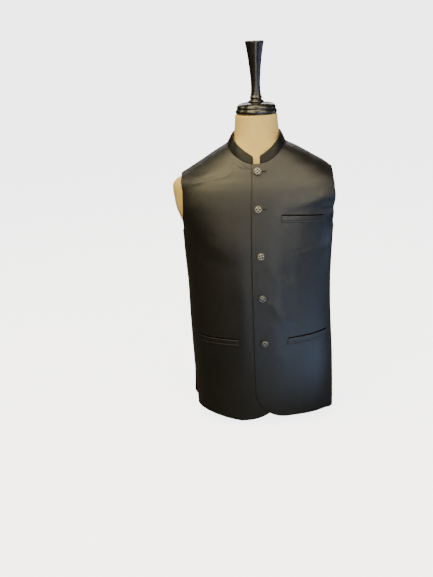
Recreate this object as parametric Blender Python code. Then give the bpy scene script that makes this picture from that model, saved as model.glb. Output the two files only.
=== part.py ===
"""A sleeveless band-collar waistcoat, buttoned on a limbless dress form with a turned finial.

+Z is up, the front faces -Y, and the wearer's left side is at +X. The origin is the middle of the
form's flat base. Sizes are in millimetres and become metres when a mesh is made.

Cloth and form are both stacks of level sections. A place on either is given by turn and height:
turn is the angle round the body in degrees, 0 at the centre front, 90 at the wearer's left side,
180 at the centre back and 270 or -90 at the right side.
"""

import math
from collections import namedtuple

import bmesh
import bpy
import numpy as np
from mathutils import Matrix, Vector

MM = 0.001

# Driving sizes of the cloth
CLOTH_WALL = 2.0            # suiting, canvas and facing pressed together
SEAM_GAP = 0.4              # between pieces that are sewn edge to edge
OVERLAP_GAP = 0.8           # between the two fronts where they lap
FULL_LAP = 27.0             # the upper front is fully lifted as far as this past the centre line
LAP_FADE = 80.0             # and lies on the body surface again from here
UNDERARM_HEIGHT = 508.0
SIDE_SEAM_TURN = 90.0
SHOULDER_SEAM_TURN = 78.0   # the shoulder seam lies a little forward of the ridge
SIDE_VENT = 150.0           # the side seam is open below this height
VENT_FLARE = 12.0            # the back panel stands out this much at the foot of the right vent
VENT_TUCK = 14.0             # and the front panel is drawn in this much

# Driving sizes of the trimmings
COLLAR_WALL = 2.4
COLLAR_HEIGHT = 30.5
COLLAR_BACK_HEIGHT = 28.0
COLLAR_END_DROP = 11.5      # the band is this much lower at its two ends
COLLAR_END_RUN = 24.0       # and comes up to full height over a few times this length
COLLAR_END_RIGHT = -11.0    # x of the collar's two ends, which leave a gap at the throat
COLLAR_END_LEFT = 6.0
COLLAR_CORNER = 4.0         # radius of each end's upper corner
Lean = namedtuple("Lean", "turn degrees")
COLLAR_LEANS = [
    Lean(0, 17), Lean(12, 20), Lean(24, 18), Lean(34, 19), Lean(45, 22.5), Lean(60, 25), Lean(75, 25),
    Lean(90, 23.4), Lean(105, 22), Lean(120, 19.7), Lean(150, 13.2), Lean(180, 10), Lean(210, 14.7),
    Lean(240, 24.4), Lean(255, 28), Lean(270, 29.4), Lean(285, 27.5), Lean(300, 26.5), Lean(320, 23.5),
    Lean(333, 18), Lean(346, 20), Lean(360, 17),
]
WELT_WALL = 1.4
WELT_GAP = 0.7              # the welt and its front follow the same curve in different steps
BUTTON_RADIUS = 10.2
BUTTON_SIDES = 14

# Driving sizes of the form
NECK_TOP = 800.0
FINIAL_TOP = 980.0
TURNED_SIDES = 20
TURNED_X = 3.0              # the neck leans a little to the wearer's left, with the turned wood on it

# How finely the pieces are divided
FrontSteps = namedtuple("FrontSteps", "columns low chest neck")
FRONT_STEPS = FrontSteps(20, 13, 8, 12)
BackSteps = namedtuple("BackSteps", "half_columns low high")
BACK_STEPS = BackSteps(17, 10, 14)
FORM_SIDES = 48

FormSection = namedtuple("FormSection", "height right left front back roundness")
FORM_SECTIONS = [
    FormSection(0, 105, 105, 38, 62, 2.20),
    FormSection(6, 122, 122, 55, 74, 2.22),
    FormSection(14, 138, 138, 72, 86, 2.25),
    FormSection(26, 152, 152, 93, 97, 2.28),
    FormSection(42, 163, 163, 109, 105, 2.30),
    FormSection(62, 169, 169, 116, 108, 2.30),
    FormSection(100, 172, 172, 118, 110, 2.30),
    FormSection(180, 171, 171, 120, 107, 2.30),
    FormSection(260, 168, 168, 122, 102, 2.30),
    FormSection(330, 168, 168, 124, 99, 2.28),
    FormSection(400, 172, 172, 124, 102, 2.26),
    FormSection(450, 178, 177, 123, 107, 2.25),
    FormSection(508, 188, 182, 119, 112, 2.25),
    FormSection(548, 204, 187, 114, 114, 2.25),
    FormSection(574, 213, 190, 110, 114, 2.25),
    FormSection(601, 217, 191, 105, 112, 2.22),
    FormSection(620, 219, 192, 100, 110, 2.20),
    FormSection(632, 218, 191, 97, 108, 2.18),
    FormSection(642, 210, 189, 93.5, 107, 2.15),
    FormSection(652, 193, 185, 89, 103, 2.12),
    FormSection(663.5, 176, 178, 84, 100, 2.10),
    FormSection(676.5, 158, 165.4, 77.5, 97, 2.08),
    FormSection(689, 137.7, 145.1, 70.5, 92.5, 2.06),
    FormSection(702, 117.2, 123.6, 64, 86.5, 2.04),
    FormSection(715, 95.6, 101, 60, 79, 2.02),
    FormSection(728, 73.5, 74, 57.5, 68, 2.00),
    FormSection(734, 65.5, 66, 57, 63.5, 2.00),
    FormSection(741, 60, 61.5, 56, 59.5, 2.00),
    FormSection(750, 56.5, 60, 55, 56.5, 2.00),
    FormSection(762, 54.5, 58.5, 54, 55, 2.00),
    FormSection(800, 51.0, 55.5, 52, 53, 2.00),
]

# The inner face of the cloth. Above the underarm the two side columns only steer the armhole edges.
ClothSection = namedtuple("ClothSection", "height right left front back roundness")
CLOTH_SECTIONS = [
    ClothSection(0, 181, 185, 126, 124, 2.45),
    ClothSection(80, 183.5, 186, 127, 122, 2.42),
    ClothSection(150, 185, 186, 128, 119, 2.40),
    ClothSection(230, 187.5, 184, 130, 115, 2.38),
    ClothSection(300, 189, 182.5, 131, 112, 2.35),
    ClothSection(360, 189.5, 183, 131.5, 112, 2.32),
    ClothSection(410, 192, 185.5, 130.5, 114, 2.30),
    ClothSection(460, 195, 189, 128.5, 116.5, 2.28),
    ClothSection(508, 197, 193, 125, 119, 2.26),
    ClothSection(530, 203, 199, 122.5, 119.5, 2.26),
    ClothSection(560, 213, 214, 118.5, 119.5, 2.25),
    ClothSection(590, 220.5, 224.5, 113.5, 117.5, 2.24),
    ClothSection(620, 221.5, 224, 107, 114.5, 2.20),
    ClothSection(640, 217, 214, 100.5, 112.5, 2.16),
    ClothSection(652, 204, 202, 95.5, 110, 2.13),
    ClothSection(663.5, 183, 186.5, 91, 106, 2.10),
    ClothSection(676.5, 161.5, 169.5, 85, 101.5, 2.08),
    ClothSection(689, 140.5, 148, 79, 97, 2.06),
    ClothSection(702, 120, 126.5, 73.5, 91, 2.04),
    ClothSection(715, 98.5, 104, 68.5, 83.5, 2.02),
    ClothSection(728, 76.5, 78, 65, 72.5, 2.00),
    ClothSection(734, 69, 70, 64, 67, 2.00),
    ClothSection(740, 64.5, 65.5, 63, 63.5, 2.00),
]

# The neckline, from the centre front over the side of the neck to the centre back
Place = namedtuple("Place", "turn height")
NECKLINE = [
    Place(0, 683.5), Place(4, 684), Place(12, 689), Place(22.5, 699.5), Place(37, 712),
    Place(55, 722.5), Place(78, 730.5), Place(100, 732), Place(140, 732.5), Place(180, 732.5),
]
NECK_LIFT = Place(32, 4.2)
ARMHOLE_FRONT = [
    Place(90, 508), Place(81, 510), Place(72.5, 519), Place(65, 539), Place(59.5, 562),
    Place(56.5, 590), Place(56.5, 615), Place(60, 637), Place(67.5, 650.5), Place(78, 659),
]
ARMHOLE_BACK = [
    Place(90, 508), Place(98, 510), Place(106, 518), Place(114, 537), Place(119.5, 562),
    Place(122, 592), Place(121.5, 618), Place(117, 639), Place(107, 653), Place(93, 660),
    Place(78, 659),
]

# Hems, by turn from the centre front round to the side, and for the back from its left side to its right
LEFT_FRONT_HEM = [Place(0, 23.5), Place(30, 25), Place(50, 25), Place(68, 16), Place(90, 6)]
RIGHT_FRONT_HEM = [Place(0, 14), Place(12, 12), Place(28, 18), Place(40, 25), Place(54, 31.5), Place(90, 39)]
BACK_HEM = [
    Place(90, 7), Place(112, 13), Place(140, 17), Place(180, 17), Place(225, 22), Place(255, 35), Place(270, 50),
]

# Front edges, as x against height: the left front laps over the right one
FrontEdge = namedtuple("FrontEdge", "height left_front right_front")
FRONT_EDGES = [
    FrontEdge(0, -25.0, 24.0), FrontEdge(233, -23.8, 24.0), FrontEdge(355, -23.5, 24.0),
    FrontEdge(460, -22.0, 23.0), FrontEdge(577, -19.4, 21.0), FrontEdge(660, -14.0, 18.0),
    FrontEdge(740, -12.0, 16.0),
]

# Rounded corners of the fronts: how far each runs along the hem and up the edge
Corner = namedtuple("Corner", "degrees rise")
LEFT_FRONT_CORNER = Corner(26, 74)
RIGHT_FRONT_CORNER = Corner(28, 43)
RIGHT_VENT_CORNER = Corner(12, 24)
LEFT_VENT_CORNER = Corner(3, 6)
BACK_CORNER = Corner(6, 14)

# Soft folds, each from one place to another, with its half width and how far it stands out
Fold = namedtuple("Fold", "turn height end_turn end_height width out")
FOLDS = [
    Fold(-84, 500, -48, 462, 34, -3.0),
    Fold(66, 566, 34, 574, 15, -3.2),
    Fold(64, 592, 30, 600, 18, 2.2),
    Fold(38, 462, 72, 476, 13, 1.6),
    Fold(14, 440, 26, 372, 16, -1.6),
    Fold(10, 330, 24, 262, 14, 1.4),
    Fold(-58, 636, -32, 668, 13, 1.5),
    Fold(120, 540, 158, 500, 22, -2.4),
    Fold(240, 545, 204, 498, 24, -2.6),
    Fold(180, 430, 180, 300, 34, -3.0),
    Fold(118, 330, 150, 300, 20, 2.2),
    Fold(238, 350, 212, 306, 22, 2.0),
]
FOLD_SCALE = 2.6            # millimetres of cloth per degree of turn

# Welt pockets: the four corners as x and height, from the inner end
Welt = namedtuple("Welt", "name top_in top_out bottom_in bottom_out")
WELTS = [
    Welt("chest_welt", (54, 559.5), (161, 551), (53.5, 543), (160, 534)),
    Welt("left_pocket_welt", (64, 240.5), (166, 246), (59.5, 224.5), (167, 229.5)),
    Welt("right_pocket_welt", (-66, 241), (-164, 244), (-61.5, 225), (-162, 227.5)),
]

# Buttons: x and height on the left front
Button = namedtuple("Button", "name x height")
BUTTONS = [
    Button("button_1", -0.7, 666.0), Button("button_2", -2.4, 576.8), Button("button_3", 0.6, 460.5),
    Button("button_4", 1.2, 352.6), Button("button_5", 4.0, 231.4),
]

# Turned outlines, as radius and height, from the bottom up
Turning = namedtuple("Turning", "radius height")
BUTTON_OUTLINE = [
    Turning(0, 0.3), Turning(3.2, 0.3), Turning(3.2, 2.4), Turning(8.6, 2.6),
    Turning(BUTTON_RADIUS, 3.6), Turning(9.7, 4.7), Turning(6.5, 6.0), Turning(0, 6.6),
]
CAP_OUTLINE = [
    Turning(0, 800.3), Turning(48.5, 800.3), Turning(51.6, 803), Turning(52.6, 807),
    Turning(51.2, 812), Turning(48.8, 814.5), Turning(49.6, 817.5), Turning(48.2, 821.5),
    Turning(43, 826), Turning(35.5, 828.6), Turning(24, 829.7), Turning(0, 829.7),
]
FINIAL_OUTLINE = [
    Turning(0, 830), Turning(19.6, 830), Turning(20.2, 832), Turning(17.2, 835.5),
    Turning(14.2, 838), Turning(15.8, 841.5), Turning(14.0, 845), Turning(12.4, 853),
    Turning(11.6, 866), Turning(12.2, 884), Turning(14.0, 908), Turning(17.0, 935),
    Turning(20.6, 960), Turning(23.4, 974), Turning(23.6, 978), Turning(22.0, FINIAL_TOP),
    Turning(0, FINIAL_TOP),
]


def eased(rows, column, at, by="height"):
    """Smooth values of one column of a table at given heights, with no overshoot between rows."""
    knots = np.array([getattr(row, by) for row in rows], float)
    values = np.array([getattr(row, column) for row in rows], float)
    if knots[0] > knots[-1]:
        knots, values = knots[::-1], values[::-1]
    steps = np.diff(values) / np.diff(knots)
    slopes = np.concatenate([steps[:1], np.zeros(len(steps) - 1), steps[-1:]])
    same_way = steps[:-1] * steps[1:] > 0
    pair_sum = np.where(same_way, steps[:-1] + steps[1:], 1.0)
    slopes[1:-1] = np.where(same_way, 2 * steps[:-1] * steps[1:] / pair_sum, 0.0)
    at = np.asarray(at, float)
    i = np.clip(np.searchsorted(knots, at, side="right") - 1, 0, len(knots) - 2)
    span = knots[i + 1] - knots[i]
    t = np.clip((at - knots[i]) / span, 0, 1)
    rise = t * t * (3 - 2 * t)
    leave = t * (1 - t) ** 2 * span
    arrive = -t * t * (1 - t) * span
    return values[i] * (1 - rise) + values[i + 1] * rise + slopes[i] * leave + slopes[i + 1] * arrive


def along(places, share):
    """Turn and height at a share of the way along a line of places, eased through each of them."""
    points = np.array([(p.turn * FOLD_SCALE, p.height) for p in places], float)
    length = np.concatenate([[0], np.cumsum(np.hypot(*np.diff(points, axis=0).T))])
    Row = namedtuple("Row", "share turn height")
    rows = [Row(s, p.turn, p.height) for s, p in zip(length / length[-1], places)]
    return eased(rows, "turn", share, by="share"), eased(rows, "height", share, by="share")


def section_point(rows, turn, height):
    """The point at a turn and height on a stack of level sections, each a rounded oval."""
    angle = np.radians(turn)
    sine, cosine = np.sin(angle), np.cos(angle)
    power = eased(rows, "roundness", height)
    stretch = (np.abs(sine) ** power + np.abs(cosine) ** power) ** (-1 / power)
    reach = np.where(sine < 0, eased(rows, "right", height), eased(rows, "left", height))
    depth = np.where(cosine > 0, eased(rows, "front", height), eased(rows, "back", height))
    return np.stack([reach * sine * stretch, -depth * cosine * stretch, height + 0 * angle], -1)


def turn_at(x, height):
    """The turn at which the cloth's front has a given x."""
    reach = np.where(x < 0, eased(CLOTH_SECTIONS, "right", height), eased(CLOTH_SECTIONS, "left", height))
    power = eased(CLOTH_SECTIONS, "roundness", height)
    share = np.abs(x) / reach
    return np.sign(x) * np.degrees(np.arctan2(share, (1 - share**power) ** (1 / power)))


def section_normal(turn, height):
    """Unit vectors that point out of the cloth's body surface."""
    step = 0.5
    rows = CLOTH_SECTIONS
    across = section_point(rows, turn + step, height) - section_point(rows, turn - step, height)
    up = section_point(rows, turn, height + step) - section_point(rows, turn, height - step)
    normal = np.cross(across, up)
    return normal / np.linalg.norm(normal, axis=-1, keepdims=True)


def fold_out(turn, height):
    """How far the soft folds push the cloth out at a place: a rounded ridge that tapers at its ends."""
    turn = np.mod(turn + 90, 360) - 90
    out = np.zeros(np.broadcast(turn, height).shape)
    for fold in FOLDS:
        run = np.array([(fold.end_turn - fold.turn) * FOLD_SCALE, fold.end_height - fold.height])
        length = np.hypot(*run)
        run = run / length
        side, rise = (turn - fold.turn) * FOLD_SCALE, height - fold.height
        past = (side * run[0] + rise * run[1]) / length
        off = (side * run[1] - rise * run[0]) / fold.width
        taper = np.clip(1.25 - np.abs(2 * past - 1), 0, 1) ** 2
        out = out + fold.out * np.exp(-(off**2)) * taper
    return out


def cloth_point(turn, height, out=0.0):
    """A point of the cloth, moved out from the inner face of the body surface."""
    base = section_point(CLOTH_SECTIONS, turn, height)
    lift = np.asarray(out + fold_out(turn, height))
    return base + section_normal(turn, height) * lift[..., None]


def lap_lift(x):
    """How far the left front stands off to make room for the right front beneath it."""
    share = np.clip((LAP_FADE - x) / (LAP_FADE - FULL_LAP), 0, 1)
    return (CLOTH_WALL + OVERLAP_GAP) * share * share * (3 - 2 * share)


def neckline_height(turn):
    """Height of the neckline: alike on both sides, but a little higher at the front of the left one."""
    signed = np.mod(np.asarray(turn, float) + 180, 360) - 180
    level = eased(NECKLINE, "height", np.abs(signed), by="turn")
    return level + NECK_LIFT.height * np.exp(-(((signed - NECK_LIFT.turn) / 26) ** 2))


def crowded(count, crowd):
    """Shares from 0 to 1 that lie closer together near both ends."""
    t = np.linspace(0, 1, count)
    return t - crowd * np.sin(2 * math.pi * t) / (2 * math.pi)


def round_corner(turn, height, edge_turn, way, hem, corner):
    """Bends the grid round a quarter oval where an upright edge meets the hem; way points into the cloth."""
    near = 1 - np.clip(np.abs(turn - edge_turn) / corner.degrees, 0, 1)
    low = 1 - np.clip((height - hem) / corner.rise, 0, 1)
    ring = np.maximum(near, low)
    ring_or_one = np.where(ring > 0, ring, 1)
    quarter = math.pi / 4
    angle = np.where(near >= low, low / ring_or_one * quarter, 2 * quarter - near / ring_or_one * quarter)
    inside = (near > 0) & (low > 0)
    turn_bent = edge_turn + way * (1 - ring * np.cos(angle)) * corner.degrees
    height_bent = hem + (1 - ring * np.sin(angle)) * corner.rise
    return np.where(inside, turn_bent, turn), np.where(inside, height_bent, height)


def front_grid(side):
    """Turn and height over one front: rows run from the front edge and neckline to the side and armhole."""
    columns, low_rows, chest_rows, neck_rows = FRONT_STEPS
    column_name = "left_front" if side > 0 else "right_front"
    corner = LEFT_FRONT_CORNER if side > 0 else RIGHT_FRONT_CORNER
    vent_corner = LEFT_VENT_CORNER if side > 0 else RIGHT_VENT_CORNER
    hem_line = LEFT_FRONT_HEM if side > 0 else RIGHT_FRONT_HEM
    edge_top = NECKLINE[0].height
    edge_x_top = float(eased(FRONT_EDGES, column_name, edge_top))
    edge_turn_top = float(turn_at(edge_x_top, edge_top)) * side
    share = crowded(columns, 0.15)[None, :]

    # Up to the underarm the rows are level, apart from the hem's own slope
    rise = crowded(low_rows + 1, 0.45)[:, None]
    foot = hem_line[0].height
    foot_edge = float(turn_at(float(eased(FRONT_EDGES, column_name, foot)), foot)) * side
    foot_turn = foot_edge + (SIDE_SEAM_TURN - foot_edge) * share
    hem = eased(hem_line, "height", np.maximum(foot_turn, 0), by="turn")
    low_height = hem + (UNDERARM_HEIGHT - hem) * rise
    edge = turn_at(eased(FRONT_EDGES, column_name, low_height), low_height) * side
    low_turn = edge + (SIDE_SEAM_TURN - edge) * share
    low_turn, low_height = round_corner(low_turn, low_height, edge[:, :1], 1, hem[:, :1], corner)
    low_turn, low_height = round_corner(low_turn, low_height, SIDE_SEAM_TURN, -1, hem[:, -1:], vent_corner)

    # Across the chest and round the neck each row runs straight in turn and height
    chest_edge_height = np.linspace(UNDERARM_HEIGHT, edge_top, chest_rows + 1)[1:]
    chest_edge = turn_at(eased(FRONT_EDGES, column_name, chest_edge_height), chest_edge_height) * side
    neck_share = np.linspace(0, 1, neck_rows + 1)[1:] ** 1.25
    neck_turn = edge_turn_top + (SHOULDER_SEAM_TURN - edge_turn_top) * neck_share
    neck_height = neckline_height(side * np.maximum(neck_turn, 0))
    inner_turn = np.concatenate([chest_edge, neck_turn])[:, None]
    inner_height = np.concatenate([chest_edge_height, neck_height])[:, None]
    steps = chest_rows + neck_rows
    outer_turn, outer_height = along(ARMHOLE_FRONT, np.linspace(0, 1, steps + 1)[1:])
    high_turn = inner_turn * (1 - share) + outer_turn[:, None] * share
    high_height = inner_height * (1 - share) + outer_height[:, None] * share
    return side * np.concatenate([low_turn, high_turn]), np.concatenate([low_height, high_height])


def back_grid():
    """Turn and height over the back, from the left side seam round to the right one."""
    half_columns, low_rows, high_rows = BACK_STEPS
    share = crowded(half_columns, 0.25)[None, :]
    rise = crowded(low_rows + 1, 0.45)[:, None]
    low_turn = SIDE_SEAM_TURN + (180 - SIDE_SEAM_TURN) * share + 0 * rise

    # Above the underarm: a patch between underarm level, armhole, centre back, shoulder and neck
    v = np.linspace(0, 1, high_rows + 1)[1:, None]
    v = 1 - (1 - v) ** 1.35
    hole_turn, hole_height = along(ARMHOLE_BACK, v[:, 0])
    hole_turn, hole_height = hole_turn[:, None], hole_height[:, None]
    neck_top, neck_back = NECKLINE[6], NECKLINE[-1]
    seam_share = 0.6
    on_seam = np.clip(share / seam_share, 0, 1)
    on_neck = np.clip((share - seam_share) / (1 - seam_share), 0, 1)
    shoulder = ARMHOLE_BACK[-1]
    behind_neck = neck_top.turn + (180 - neck_top.turn) * on_neck
    top_turn = np.where(share < seam_share, SHOULDER_SEAM_TURN, behind_neck)
    seam_height = shoulder.height + (neck_top.height - shoulder.height) * on_seam
    top_height = np.where(share < seam_share, seam_height, neckline_height(top_turn))
    floor_turn = SIDE_SEAM_TURN + (180 - SIDE_SEAM_TURN) * share
    mid_height = UNDERARM_HEIGHT + (neck_back.height - UNDERARM_HEIGHT) * v
    blend_turn = (1 - v) * floor_turn + v * top_turn + (1 - share) * hole_turn + share * 180
    blend_turn -= (1 - share) * ((1 - v) * SIDE_SEAM_TURN + v * SHOULDER_SEAM_TURN) + share * 180
    blend_height = (1 - v) * UNDERARM_HEIGHT + v * top_height + (1 - share) * hole_height + share * mid_height
    blend_height -= (1 - share) * ((1 - v) * UNDERARM_HEIGHT + v * shoulder.height) + share * mid_height

    half_turn = np.concatenate([low_turn, blend_turn])
    half_rise = np.concatenate([rise + 0 * share, np.ones_like(blend_turn)])
    turn = np.concatenate([half_turn, 360 - half_turn[:, -2::-1]], axis=1)
    rise = np.concatenate([half_rise, half_rise[:, -2::-1]], axis=1)
    high = np.concatenate([0 * low_turn, blend_height])
    high = np.concatenate([high, high[:, -2::-1]], axis=1)
    hem = eased(BACK_HEM, "height", turn, by="turn")
    low = hem + (UNDERARM_HEIGHT - hem) * rise
    height = np.where(np.arange(len(turn))[:, None] <= low_rows, low, high)
    turn, height = round_corner(turn, height, SIDE_SEAM_TURN, 1, hem[0, 0], BACK_CORNER)
    turn, height = round_corner(turn, height, 360 - SIDE_SEAM_TURN, -1, hem[0, -1], BACK_CORNER)
    return turn, height


def vent_shift(turn, height):
    """Below the right vent the back's corner stands out and the front's is drawn in."""
    drop = np.clip(1 - height / SIDE_VENT, 0, 1)
    from_seam = np.mod(turn, 360) - 270
    fade = np.clip(1 - np.abs(from_seam) / 24, 0, 1) ** 2
    return fade * np.where(from_seam > 0, -VENT_TUCK * drop, VENT_FLARE * drop**2)


def material(name, colour, roughness, metallic=0.0):
    """A Principled BSDF with one colour."""
    made = bpy.data.materials.new(name)
    made.use_nodes = True
    shader = made.node_tree.nodes["Principled BSDF"]
    shader.inputs["Base Color"].default_value = (*colour, 1)
    shader.inputs["Roughness"].default_value = roughness
    shader.inputs["Metallic"].default_value = metallic
    return made


def add_object(name, mesh, finish):
    mesh.materials.append(finish)
    placed = bpy.data.objects.new(name, mesh)
    bpy.context.scene.collection.objects.link(placed)
    return placed


def wall(name, inner, outer, finish):
    """A closed wall between two grids of points, with a rim all round."""
    rows, columns = inner.shape[:2]
    points = np.concatenate([inner.reshape(-1, 3), outer.reshape(-1, 3)]) * MM
    index = np.arange(rows * columns).reshape(rows, columns)
    a, b, c, d = index[:-1, :-1], index[:-1, 1:], index[1:, 1:], index[1:, :-1]
    inside = np.stack([a, d, c, b], -1).reshape(-1, 4)
    outside = np.stack([a, b, c, d], -1).reshape(-1, 4) + rows * columns
    rim = np.concatenate([index[0, :-1], index[:-1, -1], index[-1, :0:-1], index[:0:-1, 0]])
    following = np.roll(rim, -1)
    edge = np.stack([rim, following, following + rows * columns, rim + rows * columns], -1)
    mesh = bpy.data.meshes.new(name)
    mesh.from_pydata(points.tolist(), [], np.concatenate([inside, outside, edge]).tolist())
    tidy = bmesh.new()
    tidy.from_mesh(mesh)
    bmesh.ops.recalc_face_normals(tidy, faces=tidy.faces)
    tidy.to_mesh(mesh)
    tidy.free()
    mesh.shade_smooth()
    mesh.set_sharp_from_angle(angle=math.radians(40))
    return add_object(name, mesh, finish)


def cloth_wall(name, turn, height, lift, finish, thickness=CLOTH_WALL):
    """A piece of cloth over a grid of places, as a wall of even thickness."""
    inner = cloth_point(turn, height, lift)
    outer = cloth_point(turn, height, lift + thickness)
    return wall(name, inner, outer, finish)


def turned(name, outline, sides, finish, place=None):
    """A solid turned about Z from an outline of radius and height, then moved to its place."""
    work = bmesh.new()
    corners = [work.verts.new((row.radius * MM, 0, row.height * MM)) for row in outline]
    profile = [work.edges.new(pair) for pair in zip(corners, corners[1:])]
    bmesh.ops.spin(
        work, geom=corners + profile, cent=(0, 0, 0), axis=(0, 0, 1), angle=2 * math.pi, steps=sides,
        use_merge=True,
    )
    bmesh.ops.remove_doubles(work, verts=work.verts, dist=1e-6)
    bmesh.ops.recalc_face_normals(work, faces=work.faces)
    mesh = bpy.data.meshes.new(name)
    work.to_mesh(mesh)
    work.free()
    mesh.shade_smooth()
    mesh.set_sharp_from_angle(angle=math.radians(45))
    made = add_object(name, mesh, finish)
    if place is not None:
        made.matrix_world = place
    return made


def seam_inset(turn, height, columns):
    """Draws one or both side edges of a grid back from the seam by half the seam's gap."""
    half_gap = SEAM_GAP / 2 / FOLD_SCALE
    inset = np.zeros_like(turn)
    for column, way in columns:
        inset[:, column] = way * half_gap
    return turn + inset, height


def front_panel(name, side, finish):
    """One front, cut with its neckline, armhole, rounded corner and the lap at the centre."""
    turn, height = front_grid(side)
    turn, height = seam_inset(turn, height, [(-1, -side)])
    seam_drop = SEAM_GAP / 2 / FOLD_SCALE
    turn[-1] = turn[-1] - side * seam_drop
    lift = vent_shift(turn, height)
    if side > 0:
        lift = lift + lap_lift(section_point(CLOTH_SECTIONS, turn, height)[..., 0])
    return cloth_wall(name, turn, height, lift, finish)


def back_panel(finish):
    """The back, in one piece, which runs over the shoulders to the seams on the front."""
    turn, height = back_grid()
    turn, height = seam_inset(turn, height, [(0, 1), (-1, -1)])
    seam = slice(None)
    top_left = np.mod(turn[-1], 360) < SHOULDER_SEAM_TURN + 0.5
    top_right = np.mod(turn[-1], 360) > 359.5 - SHOULDER_SEAM_TURN
    half_gap = SEAM_GAP / 2 / FOLD_SCALE
    turn[-1, seam] = turn[-1] + half_gap * top_left - half_gap * top_right
    return cloth_wall("back", turn, height, vent_shift(turn, height), finish)


def neckline_turns():
    """The collar's own ends, and between them each place where a panel has a point on the neckline."""
    start = float(turn_at(COLLAR_END_LEFT, NECKLINE[0].height))
    end = float(turn_at(COLLAR_END_RIGHT, NECKLINE[0].height)) + 360
    on_neck = FRONT_STEPS.neck + 1
    on_panels = [front_grid(1)[0][-on_neck:, 0], back_grid()[0][-1], 360 + front_grid(-1)[0][-on_neck:, 0]]
    places = np.unique(np.concatenate(on_panels).round(6))
    places = places[(places > start + 3) & (places < end - 3)]
    return np.concatenate([[start, start + 1.2], places, [end - 1.2, end]])


def collar(finish):
    """The stand collar: a band on the neckline that leans towards the neck, open at the throat."""
    turn = neckline_turns()
    fold = np.abs(np.mod(turn + 180, 360) - 180)
    height = neckline_height(turn)
    x = section_point(CLOTH_SECTIONS, turn, height)[:, 0]
    lift = np.where((turn < 90) & (x > 0), lap_lift(x), 0.0)
    middle = cloth_point(turn, height, lift + CLOTH_WALL / 2)

    # The way along the cloth towards the neck, square to the neckline
    run = np.gradient(middle, axis=0)
    normal = section_normal(turn, height)
    to_neck = np.cross(run, normal)
    to_neck /= np.linalg.norm(to_neck, axis=1, keepdims=True)
    to_neck *= np.sign(to_neck[:, 2:])

    back_share = (1 - np.cos(np.radians(fold))) / 2
    lean = np.radians(eased(COLLAR_LEANS, "degrees", np.mod(turn, 360), by="turn"))
    inward = -middle * [1, 1, 0]
    inward /= np.linalg.norm(inward, axis=1, keepdims=True)
    rise = inward * np.sin(lean)[:, None] + np.array([0, 0, 1]) * np.cos(lean)[:, None]
    face = np.cross(run / np.linalg.norm(run, axis=1, keepdims=True), rise)
    face *= np.sign(np.sum(face * -inward, axis=1))[:, None]
    face /= np.linalg.norm(face, axis=1, keepdims=True)
    clash = np.sqrt(np.clip(1 - np.sum(to_neck * rise, axis=1) ** 2, 0, 1))
    foot = middle + to_neck * (SEAM_GAP + 0.15 + COLLAR_WALL / 2 * clash)[:, None]

    reach = np.concatenate([[0], np.cumsum(np.linalg.norm(np.diff(foot, axis=0), axis=1))])
    from_end = np.minimum(reach, reach[-1] - reach)
    tall = COLLAR_HEIGHT - (COLLAR_HEIGHT - COLLAR_BACK_HEIGHT) * back_share
    tall = tall - COLLAR_END_DROP * np.exp(-from_end / COLLAR_END_RUN)
    cut = np.clip(1 - from_end / COLLAR_CORNER, 0, 1)
    top = tall - COLLAR_CORNER * (1 - np.sqrt(1 - cut**2))
    share = np.linspace(0, 1, 4)[:, None, None]
    spine = foot[None] + rise[None] * top[None, :, None] * share
    return wall("collar", spine - face * COLLAR_WALL / 2, spine + face * COLLAR_WALL / 2, finish)


def pocket_welt(welt, finish):
    """A stitched welt, which lies on its front and takes its shape from it."""
    across = np.linspace(0, 1, 11)[None, :]
    down = np.linspace(0, 1, 3)[:, None]
    corners = np.array([[welt.bottom_in, welt.bottom_out], [welt.top_in, welt.top_out]], float)
    lower = corners[0, 0] * (1 - across[..., None]) + corners[0, 1] * across[..., None]
    upper = corners[1, 0] * (1 - across[..., None]) + corners[1, 1] * across[..., None]
    place = lower * (1 - down[..., None]) + upper * down[..., None]
    x, height = place[..., 0], place[..., 1]
    turn = turn_at(x, height)
    lift = CLOTH_WALL + WELT_GAP + (lap_lift(x) if welt.top_in[0] > 0 else 0.0)
    return cloth_wall(welt.name, turn, height, lift, finish, WELT_WALL)


def shank_button(button, finish):
    """A domed metal button, whose shank meets the left front square on."""
    turn = turn_at(np.array(button.x), np.array(button.height))
    height = np.array(button.height)
    seat = cloth_point(turn, height, CLOTH_WALL + lap_lift(np.array(button.x)))
    normal = Vector(section_normal(turn, height))
    place = Matrix.Translation(Vector(seat) * MM) @ normal.to_track_quat("Z", "Y").to_matrix().to_4x4()
    return turned(button.name, BUTTON_OUTLINE, BUTTON_SIDES, finish, place)


def form_torso(finish):
    """The padded form: level rings from its flat base to the top of its neck, closed at both ends."""
    sides = FORM_SIDES
    levels = [
        0, 6, 14, 26, 42, 62, 120, 190, 260, 330, 400, 450, 480, 508, 528, 548, 561, 574, 588, 601, 611, 620,
    ]
    levels += [627, 633, 638, 643, 648, 653, 658, 663.5, 670, 676.5, 683, 689, 695.5, 702, 708.5, 715]
    levels += [721.5, 728, 734, 741, 750, 762, 780, NECK_TOP]
    turn, height = np.meshgrid(np.arange(sides) * 360 / sides, np.array(levels, float))
    points = section_point(FORM_SECTIONS, turn, height).reshape(-1, 3) * MM
    index = np.arange(points.shape[0]).reshape(len(levels), sides)
    after = np.roll(index, -1, axis=1)
    skin = np.stack([index[:-1], after[:-1], after[1:], index[1:]], -1).reshape(-1, 4)
    mesh = bpy.data.meshes.new("form_torso")
    mesh.from_pydata(points.tolist(), [], skin.tolist() + [index[0, ::-1].tolist(), index[-1].tolist()])
    mesh.shade_smooth()
    mesh.set_sharp_from_angle(angle=math.radians(50))
    return add_object("form_torso", mesh, finish)


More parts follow.
